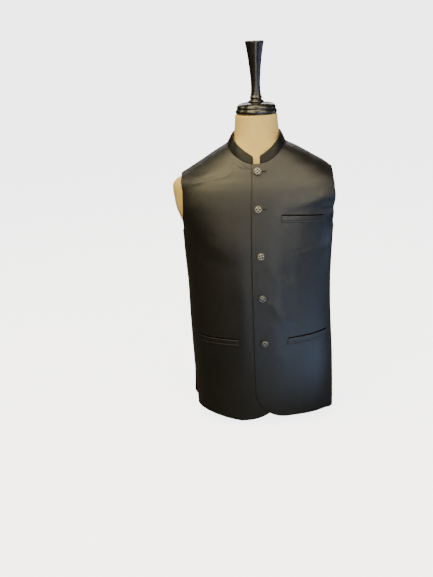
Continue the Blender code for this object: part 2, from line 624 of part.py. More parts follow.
def build():
    for old in list(bpy.data.objects):
        bpy.data.objects.remove(old)
    suiting = material("suiting", (0.030, 0.030, 0.031), 0.55)
    calico = material("calico", (0.72, 0.62, 0.44), 0.85)
    lacquer = material("black_lacquer", (0.012, 0.011, 0.010), 0.18)
    metal = material("antique_metal", (0.55, 0.52, 0.46), 0.35, 1.0)
    form_torso(calico)
    on_neck = Matrix.Translation((TURNED_X * MM, 0, 0))
    turned("form_cap", CAP_OUTLINE, TURNED_SIDES, lacquer, on_neck)
    turned("form_finial", FINIAL_OUTLINE, TURNED_SIDES, lacquer, on_neck)
    front_panel("left_front", 1, suiting)
    front_panel("right_front", -1, suiting)
    back_panel(suiting)
    collar(suiting)
    for welt in WELTS:
        pocket_welt(welt, suiting)
    for button in BUTTONS:
        shank_button(button, metal)


build()
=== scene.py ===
"""A sleeveless band-collar waistcoat on a limbless dress form: its fine surfaces, materials and light.

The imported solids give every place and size, and each piece here is a finer surface on its solid.
Tables are in millimetres and meshes in metres. Turn is the angle round the body in degrees: 0 at
the centre front, 90 at the wearer's left side, 180 behind, 270 or -90 at the right side.
"""

import math
from collections import namedtuple

import bpy
import numpy as np
from mathutils import Matrix, Vector


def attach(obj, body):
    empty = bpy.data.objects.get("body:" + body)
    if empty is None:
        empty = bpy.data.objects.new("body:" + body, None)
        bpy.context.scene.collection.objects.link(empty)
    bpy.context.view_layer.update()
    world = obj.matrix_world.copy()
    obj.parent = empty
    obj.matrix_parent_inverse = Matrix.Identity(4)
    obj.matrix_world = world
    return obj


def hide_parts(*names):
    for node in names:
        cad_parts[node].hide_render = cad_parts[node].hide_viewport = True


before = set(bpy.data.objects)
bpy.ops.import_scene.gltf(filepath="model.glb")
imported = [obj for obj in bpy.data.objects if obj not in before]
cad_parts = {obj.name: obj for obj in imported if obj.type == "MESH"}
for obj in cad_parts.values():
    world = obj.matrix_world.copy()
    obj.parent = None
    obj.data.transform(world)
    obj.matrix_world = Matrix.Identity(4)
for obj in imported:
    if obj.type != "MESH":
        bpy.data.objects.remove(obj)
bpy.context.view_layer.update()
MM = 0.001


# Dress form: a padded body and neck without arms or legs, covered in cream woven cotton that is
# stretched over the padding and sewn along the centre back and the sides. The waistcoat rests on it.

FormSection = namedtuple("FormSection", "height right left front back roundness")
FORM_SECTIONS = [FormSection(*row) for row in (
    (0, 105, 105, 38, 62, 2.20),
    (6, 122, 122, 55, 74, 2.22),
    (14, 138, 138, 72, 86, 2.25),
    (26, 152, 152, 93, 97, 2.28),
    (42, 163, 163, 109, 105, 2.30),
    (62, 169, 169, 116, 108, 2.30),
    (100, 172, 172, 118, 110, 2.30),
    (180, 171, 171, 120, 107, 2.30),
    (260, 168, 168, 122, 102, 2.30),
    (330, 168, 168, 124, 99, 2.28),
    (400, 172, 172, 124, 102, 2.26),
    (450, 178, 177, 123, 107, 2.25),
    (508, 188, 182, 119, 112, 2.25),
    (548, 204, 187, 114, 114, 2.25),
    (574, 213, 190, 110, 114, 2.25),
    (601, 217, 191, 105, 112, 2.22),
    (620, 219, 192, 100, 110, 2.20),
    (632, 218, 191, 97, 108, 2.18),
    (642, 210, 189, 93.5, 107, 2.15),
    (652, 193, 185, 89, 103, 2.12),
    (663.5, 176, 178, 84, 100, 2.10),
    (676.5, 158, 165.4, 77.5, 97, 2.08),
    (689, 137.7, 145.1, 70.5, 92.5, 2.06),
    (702, 117.2, 123.6, 64, 86.5, 2.04),
    (715, 95.6, 101, 60, 79, 2.02),
    (728, 73.5, 74, 57.5, 68, 2.00),
    (734, 65.5, 66, 57, 63.5, 2.00),
    (741, 60, 61.5, 56, 59.5, 2.00),
    (750, 56.5, 60, 55, 56.5, 2.00),
    (762, 54.5, 58.5, 54, 55, 2.00),
    (800, 51.0, 55.5, 52, 53, 2.00),
)]


def eased(rows, column, at, by="height"):
    """Smooth values of one column of a table: a cubic between rows that never overshoots them."""
    knots = np.array([getattr(row, by) for row in rows], float)
    values = np.array([getattr(row, column) for row in rows], float)
    steps = np.diff(values) / np.diff(knots)
    slopes = np.concatenate([steps[:1], np.zeros(len(steps) - 1), steps[-1:]])
    same_way = steps[:-1] * steps[1:] > 0
    pair_sum = np.where(same_way, steps[:-1] + steps[1:], 1.0)
    slopes[1:-1] = np.where(same_way, 2 * steps[:-1] * steps[1:] / pair_sum, 0.0)
    at = np.asarray(at, float)
    i = np.clip(np.searchsorted(knots, at, side="right") - 1, 0, len(knots) - 2)
    span = knots[i + 1] - knots[i]
    t = np.clip((at - knots[i]) / span, 0, 1)
    rise = t * t * (3 - 2 * t)
    leave = t * (1 - t) ** 2 * span
    arrive = -t * t * (1 - t) * span
    return values[i] * (1 - rise) + values[i + 1] * rise + slopes[i] * leave + slopes[i + 1] * arrive


def section_point(rows, turn, height):
    """The point at a turn and height on a stack of level sections, each a rounded oval."""
    angle = np.radians(turn)
    sine, cosine = np.sin(angle), np.cos(angle)
    power = eased(rows, "roundness", height)
    stretch = (np.abs(sine) ** power + np.abs(cosine) ** power) ** (-1 / power)
    reach = np.where(sine < 0, eased(rows, "right", height), eased(rows, "left", height))
    depth = np.where(cosine > 0, eased(rows, "front", height), eased(rows, "back", height))
    return np.stack([reach * sine * stretch, -depth * cosine * stretch, height + 0 * angle], -1)


def add_mesh(name, points, faces, finish, uv=None, values=None):
    """A smooth object from points in millimetres and their faces, with one uv and value a point."""
    mesh = bpy.data.meshes.new(name)
    faces = faces if isinstance(faces, list) else faces.tolist()
    mesh.from_pydata((points * MM).tolist(), [], faces)
    corner_points = np.empty(len(mesh.loops), int)
    mesh.loops.foreach_get("vertex_index", corner_points)
    if uv is not None:
        layer = mesh.uv_layers.new(name="cloth")
        layer.data.foreach_set("uv", (uv[corner_points] * MM).ravel())
    for title, numbers in (values or {}).items():
        layer = mesh.attributes.new(title, "FLOAT", "POINT")
        layer.data.foreach_set("value", numbers.astype(np.float32))
    mesh.materials.append(finish)
    mesh.shade_smooth()
    placed = bpy.data.objects.new(name, mesh)
    bpy.context.scene.collection.objects.link(placed)
    return placed


def fasten(piece, slot_name, *nodes):
    """Lets a piece ride on the one body and stand for its CAD nodes, which it hides; the slot name is not
    used.
    """
    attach(piece, "root")
    if nodes:
        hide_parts(*nodes)
    return piece


def grid_faces(rows, columns, start=0, closed=False):
    """Faces over a grid of points, counted row by row; closed joins the last column to the first."""
    index = np.arange(rows * columns).reshape(rows, columns) + start
    after = np.roll(index, -1, axis=1)
    last = columns if closed else columns - 1
    a, b = index[:-1, :last], after[:-1, :last]
    c, d = after[1:, :last], index[1:, :last]
    return np.stack([a, b, c, d], -1).reshape(-1, 4)


def capped_rings(rings, first, last):
    """Points and faces of a stack of closed rings, with one middle point that closes each end."""
    rows, sides = rings.shape[:2]
    count = rows * sides
    here = np.arange(sides)
    after = np.roll(here, -1)
    start = np.stack([0 * here + count, after, here], -1)
    end = np.stack([0 * here + count + 1, here + count - sides, after + count - sides], -1)
    faces = grid_faces(rows, sides, closed=True).tolist() + start.tolist() + end.tolist()
    return np.concatenate([rings.reshape(-1, 3), [first, last]]), faces


def arc_lengths(points, axis):
    """How far along a grid's rows or columns each point lies, from the first."""
    steps = np.linalg.norm(np.diff(points, axis=axis), axis=-1)
    start = np.zeros_like(np.take(steps, [0], axis=axis))
    return np.concatenate([start, np.cumsum(steps, axis=axis)], axis=axis)


def ridge(at, centre, width):
    """A soft rounded bump round a centre."""
    return np.exp(-(((at - centre) / width) ** 2))


def put(tree, kind, *values, **named):
    """A shader node: values fill its sockets in order; a name is a setting, or else a socket."""
    made = tree.nodes.new(kind)
    sockets = list(enumerate(values))
    for name, value in named.items():
        if hasattr(made, name):
            setattr(made, name, value)
        else:
            sockets.append((name.replace("_", " "), value))
    for place, value in sockets:
        if isinstance(value, bpy.types.NodeSocket):
            tree.links.new(value, made.inputs[place])
        elif value is not None:
            made.inputs[place].default_value = value
    return made


def reckon(tree, operation, *values):
    """The result of a Math node."""
    return put(tree, "ShaderNodeMath", *values, operation=operation).outputs[0]


def plus(tree, first, second):
    """The sum of two values."""
    return reckon(tree, "ADD", first, second)


def times(tree, first, second):
    """The product of two values."""
    return reckon(tree, "MULTIPLY", first, second)


def wave(tree, value, rate):
    """A sine wave along a value that is first multiplied by a rate."""
    return reckon(tree, "SINE", times(tree, value, rate))


def blend(tree, share, low, high):
    """A colour between two others; each is a socket or three numbers."""
    low, high = [(*colour, 1) if isinstance(colour, tuple) else colour for colour in (low, high)]
    return put(tree, "ShaderNodeMix", share, *[None] * 5, low, high, data_type="RGBA").outputs[2]


def between(tree, value, low, high, to_low=0.0, to_high=1.0):
    """Maps a range of values on another one, and no further."""
    return put(tree, "ShaderNodeMapRange", value, low, high, to_low, to_high).outputs[0]


def clouds(tree, where, scale, detail, rough):
    """Soft noise with a given number of grains a metre."""
    made = put(tree, "ShaderNodeTexNoise", Vector=where, Scale=scale, Detail=detail, Roughness=rough)
    return made.outputs[0]


def relief(tree, height, strength, distance):
    """A surface direction that a height tilts, as if the surface were raised by it."""
    return put(tree, "ShaderNodeBump", Strength=strength, Distance=distance, Height=height).outputs[0]


def point_value(tree, name):
    """A value that the mesh keeps for each of its points."""
    return put(tree, "ShaderNodeAttribute", attribute_name=name).outputs["Fac"]


def feed(made, **sockets):
    """Joins values that change over the surface to a shader's or group's inputs by their names."""
    for name, value in sockets.items():
        made.id_data.links.new(value, made.inputs[name.replace("_", " ")])


def new_group(name, inputs, outputs):
    """An empty node group with named sockets, which take numbers, but for the one called Vector."""
    group = bpy.data.node_groups.new(name, "ShaderNodeTree")
    for in_out, titles in (("INPUT", inputs), ("OUTPUT", outputs)):
        for title in titles:
            kind = "NodeSocketVector" if title == "Vector" else "NodeSocketFloat"
            group.interface.new_socket(title, in_out=in_out, socket_type=kind)
    return group, group.nodes.new("NodeGroupInput"), group.nodes.new("NodeGroupOutput")


def new_material(name, **settings):
    """A material with its tree and Principled shader, whose constant sockets are set by name."""
    made = bpy.data.materials.new(name)
    made.use_nodes = True
    shader = made.node_tree.nodes["Principled BSDF"]
    for title, value in settings.items():
        shader.inputs[title.replace("_", " ")].default_value = value
    return made, made.node_tree, shader


def plain_weave_group():
    """Threads over and under each other: two rows of round threads whose heights alternate."""
    group, inside, outside = new_group("plain_weave", ["Vector", "Threads"], ["Height", "Dirt"])
    where, threads = inside.outputs["Vector"], inside.outputs["Threads"]
    split = put(group, "ShaderNodeSeparateXYZ", where)
    warp = wave(group, times(group, split.outputs[0], threads), 2 * math.pi)
    weft = wave(group, times(group, split.outputs[1], threads), 2 * math.pi)
    slubs = clouds(group, where, 700.0, 3.0, 0.6)
    height = plus(group, times(group, times(group, warp, weft), 0.35), slubs)
    dirt = clouds(group, where, 14.0, 4.0, 0.62)
    feed(outside, Height=height, Dirt=between(group, dirt, 0.35, 0.75))
    return group


def calico_material():
    """Unbleached cotton: a cream plain weave with slubs, a little yellowed and soiled in clouds."""
    made, tree, shader = new_material("calico", Roughness=0.85, Sheen_Weight=0.15, Sheen_Roughness=0.5)
    where = put(tree, "ShaderNodeUVMap", uv_map="cloth").outputs[0]
    weave = put(tree, "ShaderNodeGroup", node_tree=plain_weave_group(), Vector=where, Threads=900.0)
    height, dirt = weave.outputs["Height"], weave.outputs["Dirt"]
    cream = blend(tree, dirt, (0.77, 0.56, 0.19), (0.68, 0.46, 0.13))
    fine = blend(tree, between(tree, height, 0.2, 0.9, 0.0, 0.35), cream, (0.84, 0.68, 0.30))
    feed(
        shader,
        Base_Color=blend(tree, point_value(tree, "seam"), fine, (0.30, 0.23, 0.14)),
        Roughness=between(tree, dirt, 0.0, 1.0, 0.80, 0.92),
        Normal=relief(tree, height, 0.35, 0.0003),
    )
    return made


CALICO = calico_material()
FORM_SEAM_TURNS = (90, 180, 270)
FORM_SEAM_WIDTH = 0.8
FORM_SEAM_DRAW = 0.004


def dress_form():
    """The form's skin: level rings up to the neck's top, drawn in a little along its seams."""
    sides = 160
    neck_top = FORM_SECTIONS[-1].height
    foot_levels = [0, 3, 6, 10, 14, 20, 26, 34, 42, 52, 62]
    chest_levels = np.linspace(85, 500, 22)
    shoulder_levels = np.linspace(510, 740, 84)
    neck_levels = np.linspace(743, neck_top, 22)
    levels = np.concatenate([foot_levels, chest_levels, shoulder_levels, neck_levels])
    turn, height = np.meshgrid(np.arange(sides) * 360 / sides, levels)
    rings = section_point(FORM_SECTIONS, turn, height)
    seam = np.zeros(turn.shape)
    for seam_turn in FORM_SEAM_TURNS:
        gap = np.abs(np.mod(turn - seam_turn + 180, 360) - 180)
        seam = np.maximum(seam, ridge(gap, 0, FORM_SEAM_WIDTH))
    rings[..., :2] *= (1 - FORM_SEAM_DRAW * seam)[..., None]
    points, faces = capped_rings(rings, (0, 12, 0), (2, 0.5, neck_top))
    uv = np.stack([turn, arc_lengths(rings, 0)], -1).reshape(-1, 2)
    uv = np.concatenate([uv, [[0, 0], [0, neck_top]]])
    values = {"seam": np.concatenate([0.5 * seam.ravel(), [0, 0]])}
    return add_mesh("dress_form", points, faces, CALICO, uv, values)


fasten(dress_form(), "calico", "form_torso")


# Neck cap and finial: turned wood in black lacquer. The cap sits on the neck's top and the finial
# stands in its middle. Both are turned on a lathe, sanded and dipped, so the gloss is uneven.

# Each outline gives radius and height
CAP_OUTLINE = [
    (0, 800.3), (47.5, 800.3), (50.4, 801.2), (52.2, 804.2),
    (52.6, 807.6), (51.6, 811.2), (49.6, 813.6), (48.7, 814.6),
    (49.4, 815.8), (49.5, 818.2), (48.2, 821.5), (45.4, 824.6),
    (40.5, 827.2), (34.0, 828.8), (24.0, 829.6), (0, 829.7),
]
FINIAL_OUTLINE = [
    (0, 829.9), (18.6, 829.9), (20.1, 830.6), (20.2, 832.0),
    (18.0, 834.6), (14.8, 836.8), (14.0, 838.2), (15.3, 839.4),
    (15.8, 841.6), (15.0, 844.0), (13.6, 845.6), (12.6, 852.0),
    (11.7, 864.0), (12.0, 882.0), (13.8, 906.0), (16.8, 934.0),
    (20.4, 959.0), (23.1, 973.0), (23.8, 977.0), (23.2, 979.4),
    (21.0, 980.0), (19.0, 979.2), (0, 978.8),
]
TURNED_X = 3.0


def softened(outline):
    """Cuts each corner of an outline at a quarter of its two sides, twice over."""
    line = np.array(outline, float)
    for _ in range(2):
        near = line[:-1] * 0.75 + line[1:] * 0.25
        far = line[:-1] * 0.25 + line[1:] * 0.75
        line = np.concatenate([line[:1], np.stack([near, far], 1).reshape(-1, 2)[1:-1], line[-1:]])
    return line


def turned_rings(line, sides):
    """Rings about an upright axis, one for each radius and height of a line."""
    line = np.array(line, float)
    angle = np.arange(sides) * 2 * math.pi / sides
    around = np.stack([np.sin(angle), -np.cos(angle), 0 * angle], -1)
    return line[:, None, :1] * around + line[:, None, 1:] * [0, 0, 1]


def lacquer_material():
    """Black lacquer on turned wood: faint lathe rings under an uneven gloss, with specks of dust."""
    made, tree, shader = new_material("black_lacquer", Coat_Weight=0.7, Coat_Roughness=0.06)
    where = put(tree, "ShaderNodeTexCoord").outputs["Object"]
    up = put(tree, "ShaderNodeSeparateXYZ", where).outputs[2]
    flat = put(tree, "ShaderNodeMapping", where, Scale=(1.0, 1.0, 0.35)).outputs[0]
    uneven = clouds(tree, flat, 55.0, 3.0, 0.55)
    dust = between(tree, clouds(tree, where, 900.0, 2.0, 0.7), 0.55, 0.8, 0.0, 0.5)
    raised = relief(tree, plus(tree, uneven, times(tree, wave(tree, up, 4200.0), 0.04)), 0.5, 0.0016)
    feed(
        shader,
        Base_Color=blend(tree, dust, (0.010, 0.009, 0.008), (0.035, 0.030, 0.024)),
        Roughness=between(tree, uneven, 0.3, 0.7, 0.16, 0.34),
        Normal=raised,
        Coat_Normal=raised,
    )
    return made


LACQUER = lacquer_material()


def turned_piece(name, outline, sides):
    """Turned wood: an outline with its corners rounded, turned about the neck's axis."""
    line = softened(outline)
    points, faces = capped_rings(turned_rings(line[1:-1], sides), (0, 0, line[0, 1]), (0, 0, line[-1, 1]))
    return add_mesh(name, points + [TURNED_X, 0, 0], faces, LACQUER)


fasten(turned_piece("neck_cap", CAP_OUTLINE, 112), "black_lacquer", "form_cap")
fasten(turned_piece("finial", FINIAL_OUTLINE, 72), "black_lacquer", "form_finial")


# Back: one panel of black twill suiting, fused to canvas and pressed. It runs over the shoulders to
# seams a little forward of the ridge, and its hem corners are open at the side vents.

CLOTH_WALL = 2.0
SEAM_GAP = 0.16
OVERLAP_GAP = 0.8
FULL_LAP = 27.0
LAP_FADE = 80.0
UNDERARM_HEIGHT = 508.0
SIDE_SEAM_TURN = 90.0
SHOULDER_SEAM_TURN = 78.0
VENT_TOP = 150.0
VENT_FLARE = 12.0
VENT_TUCK = 14.0
VENT_SPREAD = 24.0
# Millimetres of cloth that one degree of turn takes
DEGREE_WIDTH = 2.6
HALF_SEAM_TURN = SEAM_GAP / 2 / DEGREE_WIDTH
EDGE_ROLL = 1.3
LOWER_PANEL_HEIGHT = 490.0

ClothSection = namedtuple("ClothSection", "height right left front back roundness")
CLOTH_SECTIONS = [ClothSection(*row) for row in (
    (0, 181, 185, 126, 124, 2.45),
    (80, 183.5, 186, 127, 122, 2.42),
    (150, 185, 186, 128, 119, 2.40),
    (230, 187.5, 184, 130, 115, 2.38),
    (300, 189, 182.5, 131, 112, 2.35),
    (360, 189.5, 183, 131.5, 112, 2.32),
    (410, 192, 185.5, 130.5, 114, 2.30),
    (460, 195, 189, 128.5, 116.5, 2.28),
    (508, 197, 193, 125, 119, 2.26),
    (530, 203, 199, 122.5, 119.5, 2.26),
    (560, 213, 214, 118.5, 119.5, 2.25),
    (590, 220.5, 224.5, 113.5, 117.5, 2.24),
    (620, 221.5, 224, 107, 114.5, 2.20),
    (640, 217, 214, 100.5, 112.5, 2.16),
    (652, 204, 202, 95.5, 110, 2.13),
    (663.5, 183, 186.5, 91, 106, 2.10),
    (676.5, 161.5, 169.5, 85, 101.5, 2.08),
    (689, 140.5, 148, 79, 97, 2.06),
    (702, 120, 126.5, 73.5, 91, 2.04),
    (715, 98.5, 104, 68.5, 83.5, 2.02),
    (728, 76.5, 78, 65, 72.5, 2.00),
    (734, 69, 70, 64, 67, 2.00),
    (740, 64.5, 65.5, 63, 63.5, 2.00),
)]

Place = namedtuple("Place", "turn height")
PlaceOnLine = namedtuple("PlaceOnLine", "share turn height")
NECKLINE = [Place(*row) for row in (
    (0, 683.5), (4, 684), (12, 689), (22.5, 699.5), (37, 712),
    (55, 722.5), (78, 730.5), (100, 732), (140, 732.5), (180, 732.5),
)]
NECK_LIFT = Place(32, 4.2)
NECK_LIFT_SPREAD = 26.0
ARMHOLE_BACK = [Place(*row) for row in (
    (90, 508), (98, 510), (106, 518), (114, 537), (119.5, 562),
    (122, 592), (121.5, 618), (117, 639), (107, 653), (93, 660),
    (78, 659),
)]
BACK_HEM = [Place(*row) for row in (
    (90, 7), (112, 13), (140, 17), (180, 17), (225, 22), (255, 35), (270, 50),
)]
Corner = namedtuple("Corner", "degrees rise")
BACK_CORNER = Corner(6, 14)

# Broad folds that the solids have too: from one place to another, half width and how far out
Fold = namedtuple("Fold", "turn height end_turn end_height width out")
FOLDS = [Fold(*row) for row in (
    (-84, 500, -48, 462, 34, -3.0),
    (66, 566, 34, 574, 15, -3.2),
    (64, 592, 30, 600, 18, 2.2),
    (38, 462, 72, 476, 13, 1.6),
    (14, 440, 26, 372, 16, -1.6),
    (10, 330, 24, 262, 14, 1.4),
    (-58, 636, -32, 668, 13, 1.5),
    (120, 540, 158, 500, 22, -2.4),
    (240, 545, 204, 498, 24, -2.6),
    (180, 430, 180, 300, 34, -3.0),
    (118, 330, 150, 300, 20, 2.2),
    (238, 350, 212, 306, 22, 2.0),
)]

# Small creases: a line of places, half width, how much steeper its lower side is, and how far out
Crease = namedtuple("Crease", "path width lean out")
CREASES = [Crease(*row) for row in (
    ([(-58, 631), (-44, 642), (-37, 650), (-30, 654), (-24, 658), (-22.5, 668), (-23, 684), (-25, 699)],
     4.2, -0.45, 1.4),
    ([(-26, 700), (-18, 689), (-12, 681), (-3, 670)], 2.4, 0.3, 1.5),
    ([(-25, 691), (-17, 681), (-9, 672)], 2.4, 0.3, 1.2),
    ([(-78, 580), (-58, 545), (-38, 500), (-14, 446)], 38.0, 0.35, 4.6),
    ([(66, 604), (48, 596), (30, 586), (14, 572)], 13.0, 0.3, 1.8),
    ([(72, 566), (56, 563), (40, 566)], 9.0, 0.2, -1.8),
    ([(27, 460), (37, 465), (50, 469)], 4.0, 0.3, 0.9),
    ([(2, 458), (9, 424), (18, 388), (24, 350)], 15.0, 0.2, 1.8),
    ([(28, 476), (36, 430), (46, 390)], 22.0, 0.15, -1.6),
    ([(6, 344), (14, 312), (20, 264)], 13.0, 0.25, 2.4),
    ([(4, 250), (9, 262), (15, 290)], 9.0, 0.2, 1.1),
    ([(-15, 540), (-14, 400), (-14, 260), (-16, 130)], 16.0, -0.1, 1.6),
    ([(7, 222), (14, 192), (20, 150)], 9.0, 0.2, 0.9),
    ([(8, 570), (16, 548), (22, 512)], 8.0, 0.2, 0.8),
    ([(-70, 470), (-55, 452), (-38, 418)], 10.0, 0.2, 0.9),
    ([(-60, 300), (-46, 296), (-34, 286)], 9.0, 0.1, 0.5),
    ([(118, 470), (132, 452), (150, 440)], 9.0, 0.2, 1.0),
    ([(244, 468), (230, 446), (212, 436)], 9.0, 0.2, 1.1),
    ([(150, 690), (164, 684), (180, 682), (196, 684), (210, 690)], 7.0, 0.2, 0.7),
    ([(140, 260), (158, 236), (176, 224)], 11.0, 0.2, 0.9),
    ([(224, 270), (206, 240), (188, 226)], 11.0, 0.2, 0.8),
)]


def along(places, share):
    """Turn and height at a share of the way along a line of places, eased through each of them."""
    points = np.array(places, float) * [DEGREE_WIDTH, 1]
    length = np.concatenate([[0], np.cumsum(np.hypot(*np.diff(points, axis=0).T))])
    rows = [PlaceOnLine(part, *place) for part, place in zip(length / length[-1], places)]
    return eased(rows, "turn", share, by="share"), eased(rows, "height", share, by="share")


def turn_at(x, height):
    """The turn at which the cloth's front has a given x."""
    reach = np.where(x < 0, eased(CLOTH_SECTIONS, "right", height), eased(CLOTH_SECTIONS, "left", height))
    power = eased(CLOTH_SECTIONS, "roundness", height)
    share = np.abs(x) / reach
    return np.sign(x) * np.degrees(np.arctan2(share, (1 - share**power) ** (1 / power)))


def unit(vectors):
    """The same directions, each with a length of one."""
    return vectors / np.linalg.norm(vectors, axis=-1, keepdims=True)


def section_normal(turn, height):
    """Unit vectors that point out of the cloth's body surface, from two short steps across and up it."""
    step = 0.5
    right, left = [section_point(CLOTH_SECTIONS, turn + way, height) for way in (-step, step)]
    low, high = [section_point(CLOTH_SECTIONS, turn, height + way) for way in (-step, step)]
    return unit(np.cross(left - right, high - low))


def fold_out(turn, height):
    """How far the broad folds push the cloth out at a place: a rounded ridge that tapers at its ends."""
    turn = np.mod(turn + 90, 360) - 90
    out = np.zeros(np.broadcast(turn, height).shape)
    for fold in FOLDS:
        run = np.array([(fold.end_turn - fold.turn) * DEGREE_WIDTH, fold.end_height - fold.height])
        length = np.hypot(*run)
        run = run / length
        side, rise = (turn - fold.turn) * DEGREE_WIDTH, height - fold.height
        past = (side * run[0] + rise * run[1]) / length
        off = side * run[1] - rise * run[0]
        taper = np.clip(1.25 - np.abs(2 * past - 1), 0, 1) ** 2
        out = out + fold.out * ridge(off, 0, fold.width) * taper
    return out


def crease_out(turn, height):
    """The small creases: each rounds off from a bent line, steeper on one side, fading to its ends."""
    turn = np.mod(turn + 90, 360) - 90
    side, rise = turn * DEGREE_WIDTH, height + 0 * turn
    out = np.zeros(side.shape)
    for crease in CREASES:
        bends = softened(crease.path) * [DEGREE_WIDTH, 1]
        lengths = np.hypot(*np.diff(bends, axis=0).T)
        start = np.concatenate([[0], np.cumsum(lengths)[:-1]]) / lengths.sum()
        nearest = np.full(side.shape, 1e9)
        share = np.zeros(side.shape)
        above = np.zeros(side.shape)
        for (ax, ay), (bx, by), length, began in zip(bends, bends[1:], lengths, start):
            past = np.clip(((side - ax) * (bx - ax) + (rise - ay) * (by - ay)) / length**2, 0, 1)
            gap_x, gap_y = side - ax - past * (bx - ax), rise - ay - past * (by - ay)
            gap = np.hypot(gap_x, gap_y)
            closer = gap < nearest
            nearest = np.where(closer, gap, nearest)
            share = np.where(closer, began + past * length / lengths.sum(), share)
            above = np.where(closer, gap_y, above)
        width = crease.width * np.where(above < 0, 1 - crease.lean, 1 + crease.lean)
        uneven = 0.85 + 0.15 * np.sin(share * 9 + crease.width)
        faded = uneven * np.sin(np.pi * share) ** 0.6
        out = out + crease.out * faded * ridge(nearest, 0, width)
    return out


def cloth_point(turn, height, out=0.0):
    """A point of the cloth, moved out from the inner face of the body surface."""
    base = section_point(CLOTH_SECTIONS, turn, height)
    lift = np.asarray(out + fold_out(turn, height) + crease_out(turn, height))
    return base + section_normal(turn, height) * lift[..., None]


def lap_lift(x):
    """How far the left front stands off to make room for the right front beneath it."""
    share = np.clip((LAP_FADE - x) / (LAP_FADE - FULL_LAP), 0, 1)
    return (CLOTH_WALL + OVERLAP_GAP) * share * share * (3 - 2 * share)


def neckline_height(turn):
    """Height of the neckline: alike on both sides, but a little higher at the front of the left one."""
    signed = np.mod(turn + 180, 360) - 180
    level = eased(NECKLINE, "height", np.abs(signed), by="turn")
    return level + NECK_LIFT.height * ridge(signed, NECK_LIFT.turn, NECK_LIFT_SPREAD)


def crowded(count, crowd):
    """Shares from 0 to 1 that lie closer together near both ends."""
    t = np.linspace(0, 1, count)
    return t - crowd * np.sin(2 * math.pi * t) / (2 * math.pi)


def edged(count, crowd, roll, both=True):
    """The same, with a few more shares inside the rolled edge at the start, or at both ends."""
    close = roll * np.array([0.07, 0.28, 0.62, 1.05])
    shares = [crowded(count, crowd), close]
    if both:
        shares.append(1 - close)
    return np.unique(np.concatenate(shares))


def round_corner(turn, height, edge_turn, way, hem, corner):
    """Bends the grid round a quarter oval where an upright edge meets the hem.

    Way is 1 or -1: the side of the edge on which the cloth lies. Each square ring about the corner's
    inner point becomes an oval one, and its two arms become the two halves of the quarter.
    """
    near = 1 - np.clip(np.abs(turn - edge_turn) / corner.degrees, 0, 1)
    low = 1 - np.clip((height - hem) / corner.rise, 0, 1)
    ring = np.maximum(near, low)
    ring_or_one = np.where(ring > 0, ring, 1)
    half = math.pi / 4
    angle = half * np.where(near >= low, low / ring_or_one, 2 - near / ring_or_one)
    inside = (near > 0) & (low > 0)
    turn_bent = edge_turn + way * (1 - ring * np.cos(angle)) * corner.degrees
    height_bent = hem + (1 - ring * np.sin(angle)) * corner.rise
    return np.where(inside, turn_bent, turn), np.where(inside, height_bent, height)


def vent_shift(turn, height):
    """At the right side vent the back's corner stands out and the front's is drawn in."""
    drop = np.clip(1 - height / VENT_TOP, 0, 1)
    from_seam = np.mod(turn, 360) - 270
    fade = np.clip(1 - np.abs(from_seam) / VENT_SPREAD, 0, 1) ** 2
    return fade * np.where(from_seam > 0, -VENT_TUCK * drop, VENT_FLARE * drop**2)


def edge_distance(points):
    """How far each point of a grid lies from the grid's nearest edge, along its rows and columns."""
    across, up = arc_lengths(points, 1), arc_lengths(points, 0)
    sides = [across, across[:, -1:] - across, up, up[-1:] - up]
    return np.min(sides, axis=0)


def shell(name, middle, outwards, thickness, finish, uv, roll, dark):
    """A closed wall of cloth on a grid: its two faces meet at the edge, which rolls over in a half round."""
    rows, columns = middle.shape[:2]
    edge = edge_distance(middle)
    half = thickness / 2 * np.sqrt(1 - (1 - np.clip(edge / roll, 0, 1)) ** 2)
    offset = outwards * half[..., None]
    count = rows * columns
    front = np.arange(count).reshape(rows, columns)
    behind = front + count
    behind[0], behind[-1] = front[0], front[-1]
    behind[:, 0], behind[:, -1] = front[:, 0], front[:, -1]
    facing = np.cross(middle[1, 1] - middle[1, 0], middle[2, 0] - middle[1, 0]) @ outwards[1, 0] > 0
    faces = []
    for grid, forward in ((front, facing), (behind, not facing)):
        corners = [grid[:-1, :-1], grid[:-1, 1:], grid[1:, 1:], grid[1:, :-1]]
        faces.append(np.stack(corners if forward else corners[::-1], -1).reshape(-1, 4))
    points = np.concatenate([(middle + offset).reshape(-1, 3), (middle - offset).reshape(-1, 3)])
    used, faces = np.unique(np.concatenate(faces), return_inverse=True)
    values = {"edge": np.tile(edge.ravel(), 2)[used], "dark": np.tile(dark.ravel(), 2)[used]}
    uv = np.tile(uv.reshape(-1, 2), (2, 1))[used]
    return add_mesh(name, points[used], faces.reshape(-1, 4), finish, uv, values)


def cloth_uv(points, start_x):
    """Where each point lies on the flat cloth, in millimetres: across from the centre line, and up."""
    across = arc_lengths(points, 1)
    way = 1.0 if points[0, -1, 0] > points[0, 0, 0] else -1.0
    return np.stack([start_x + way * across, points[:1, :, 2] + arc_lengths(points, 0)], -1)


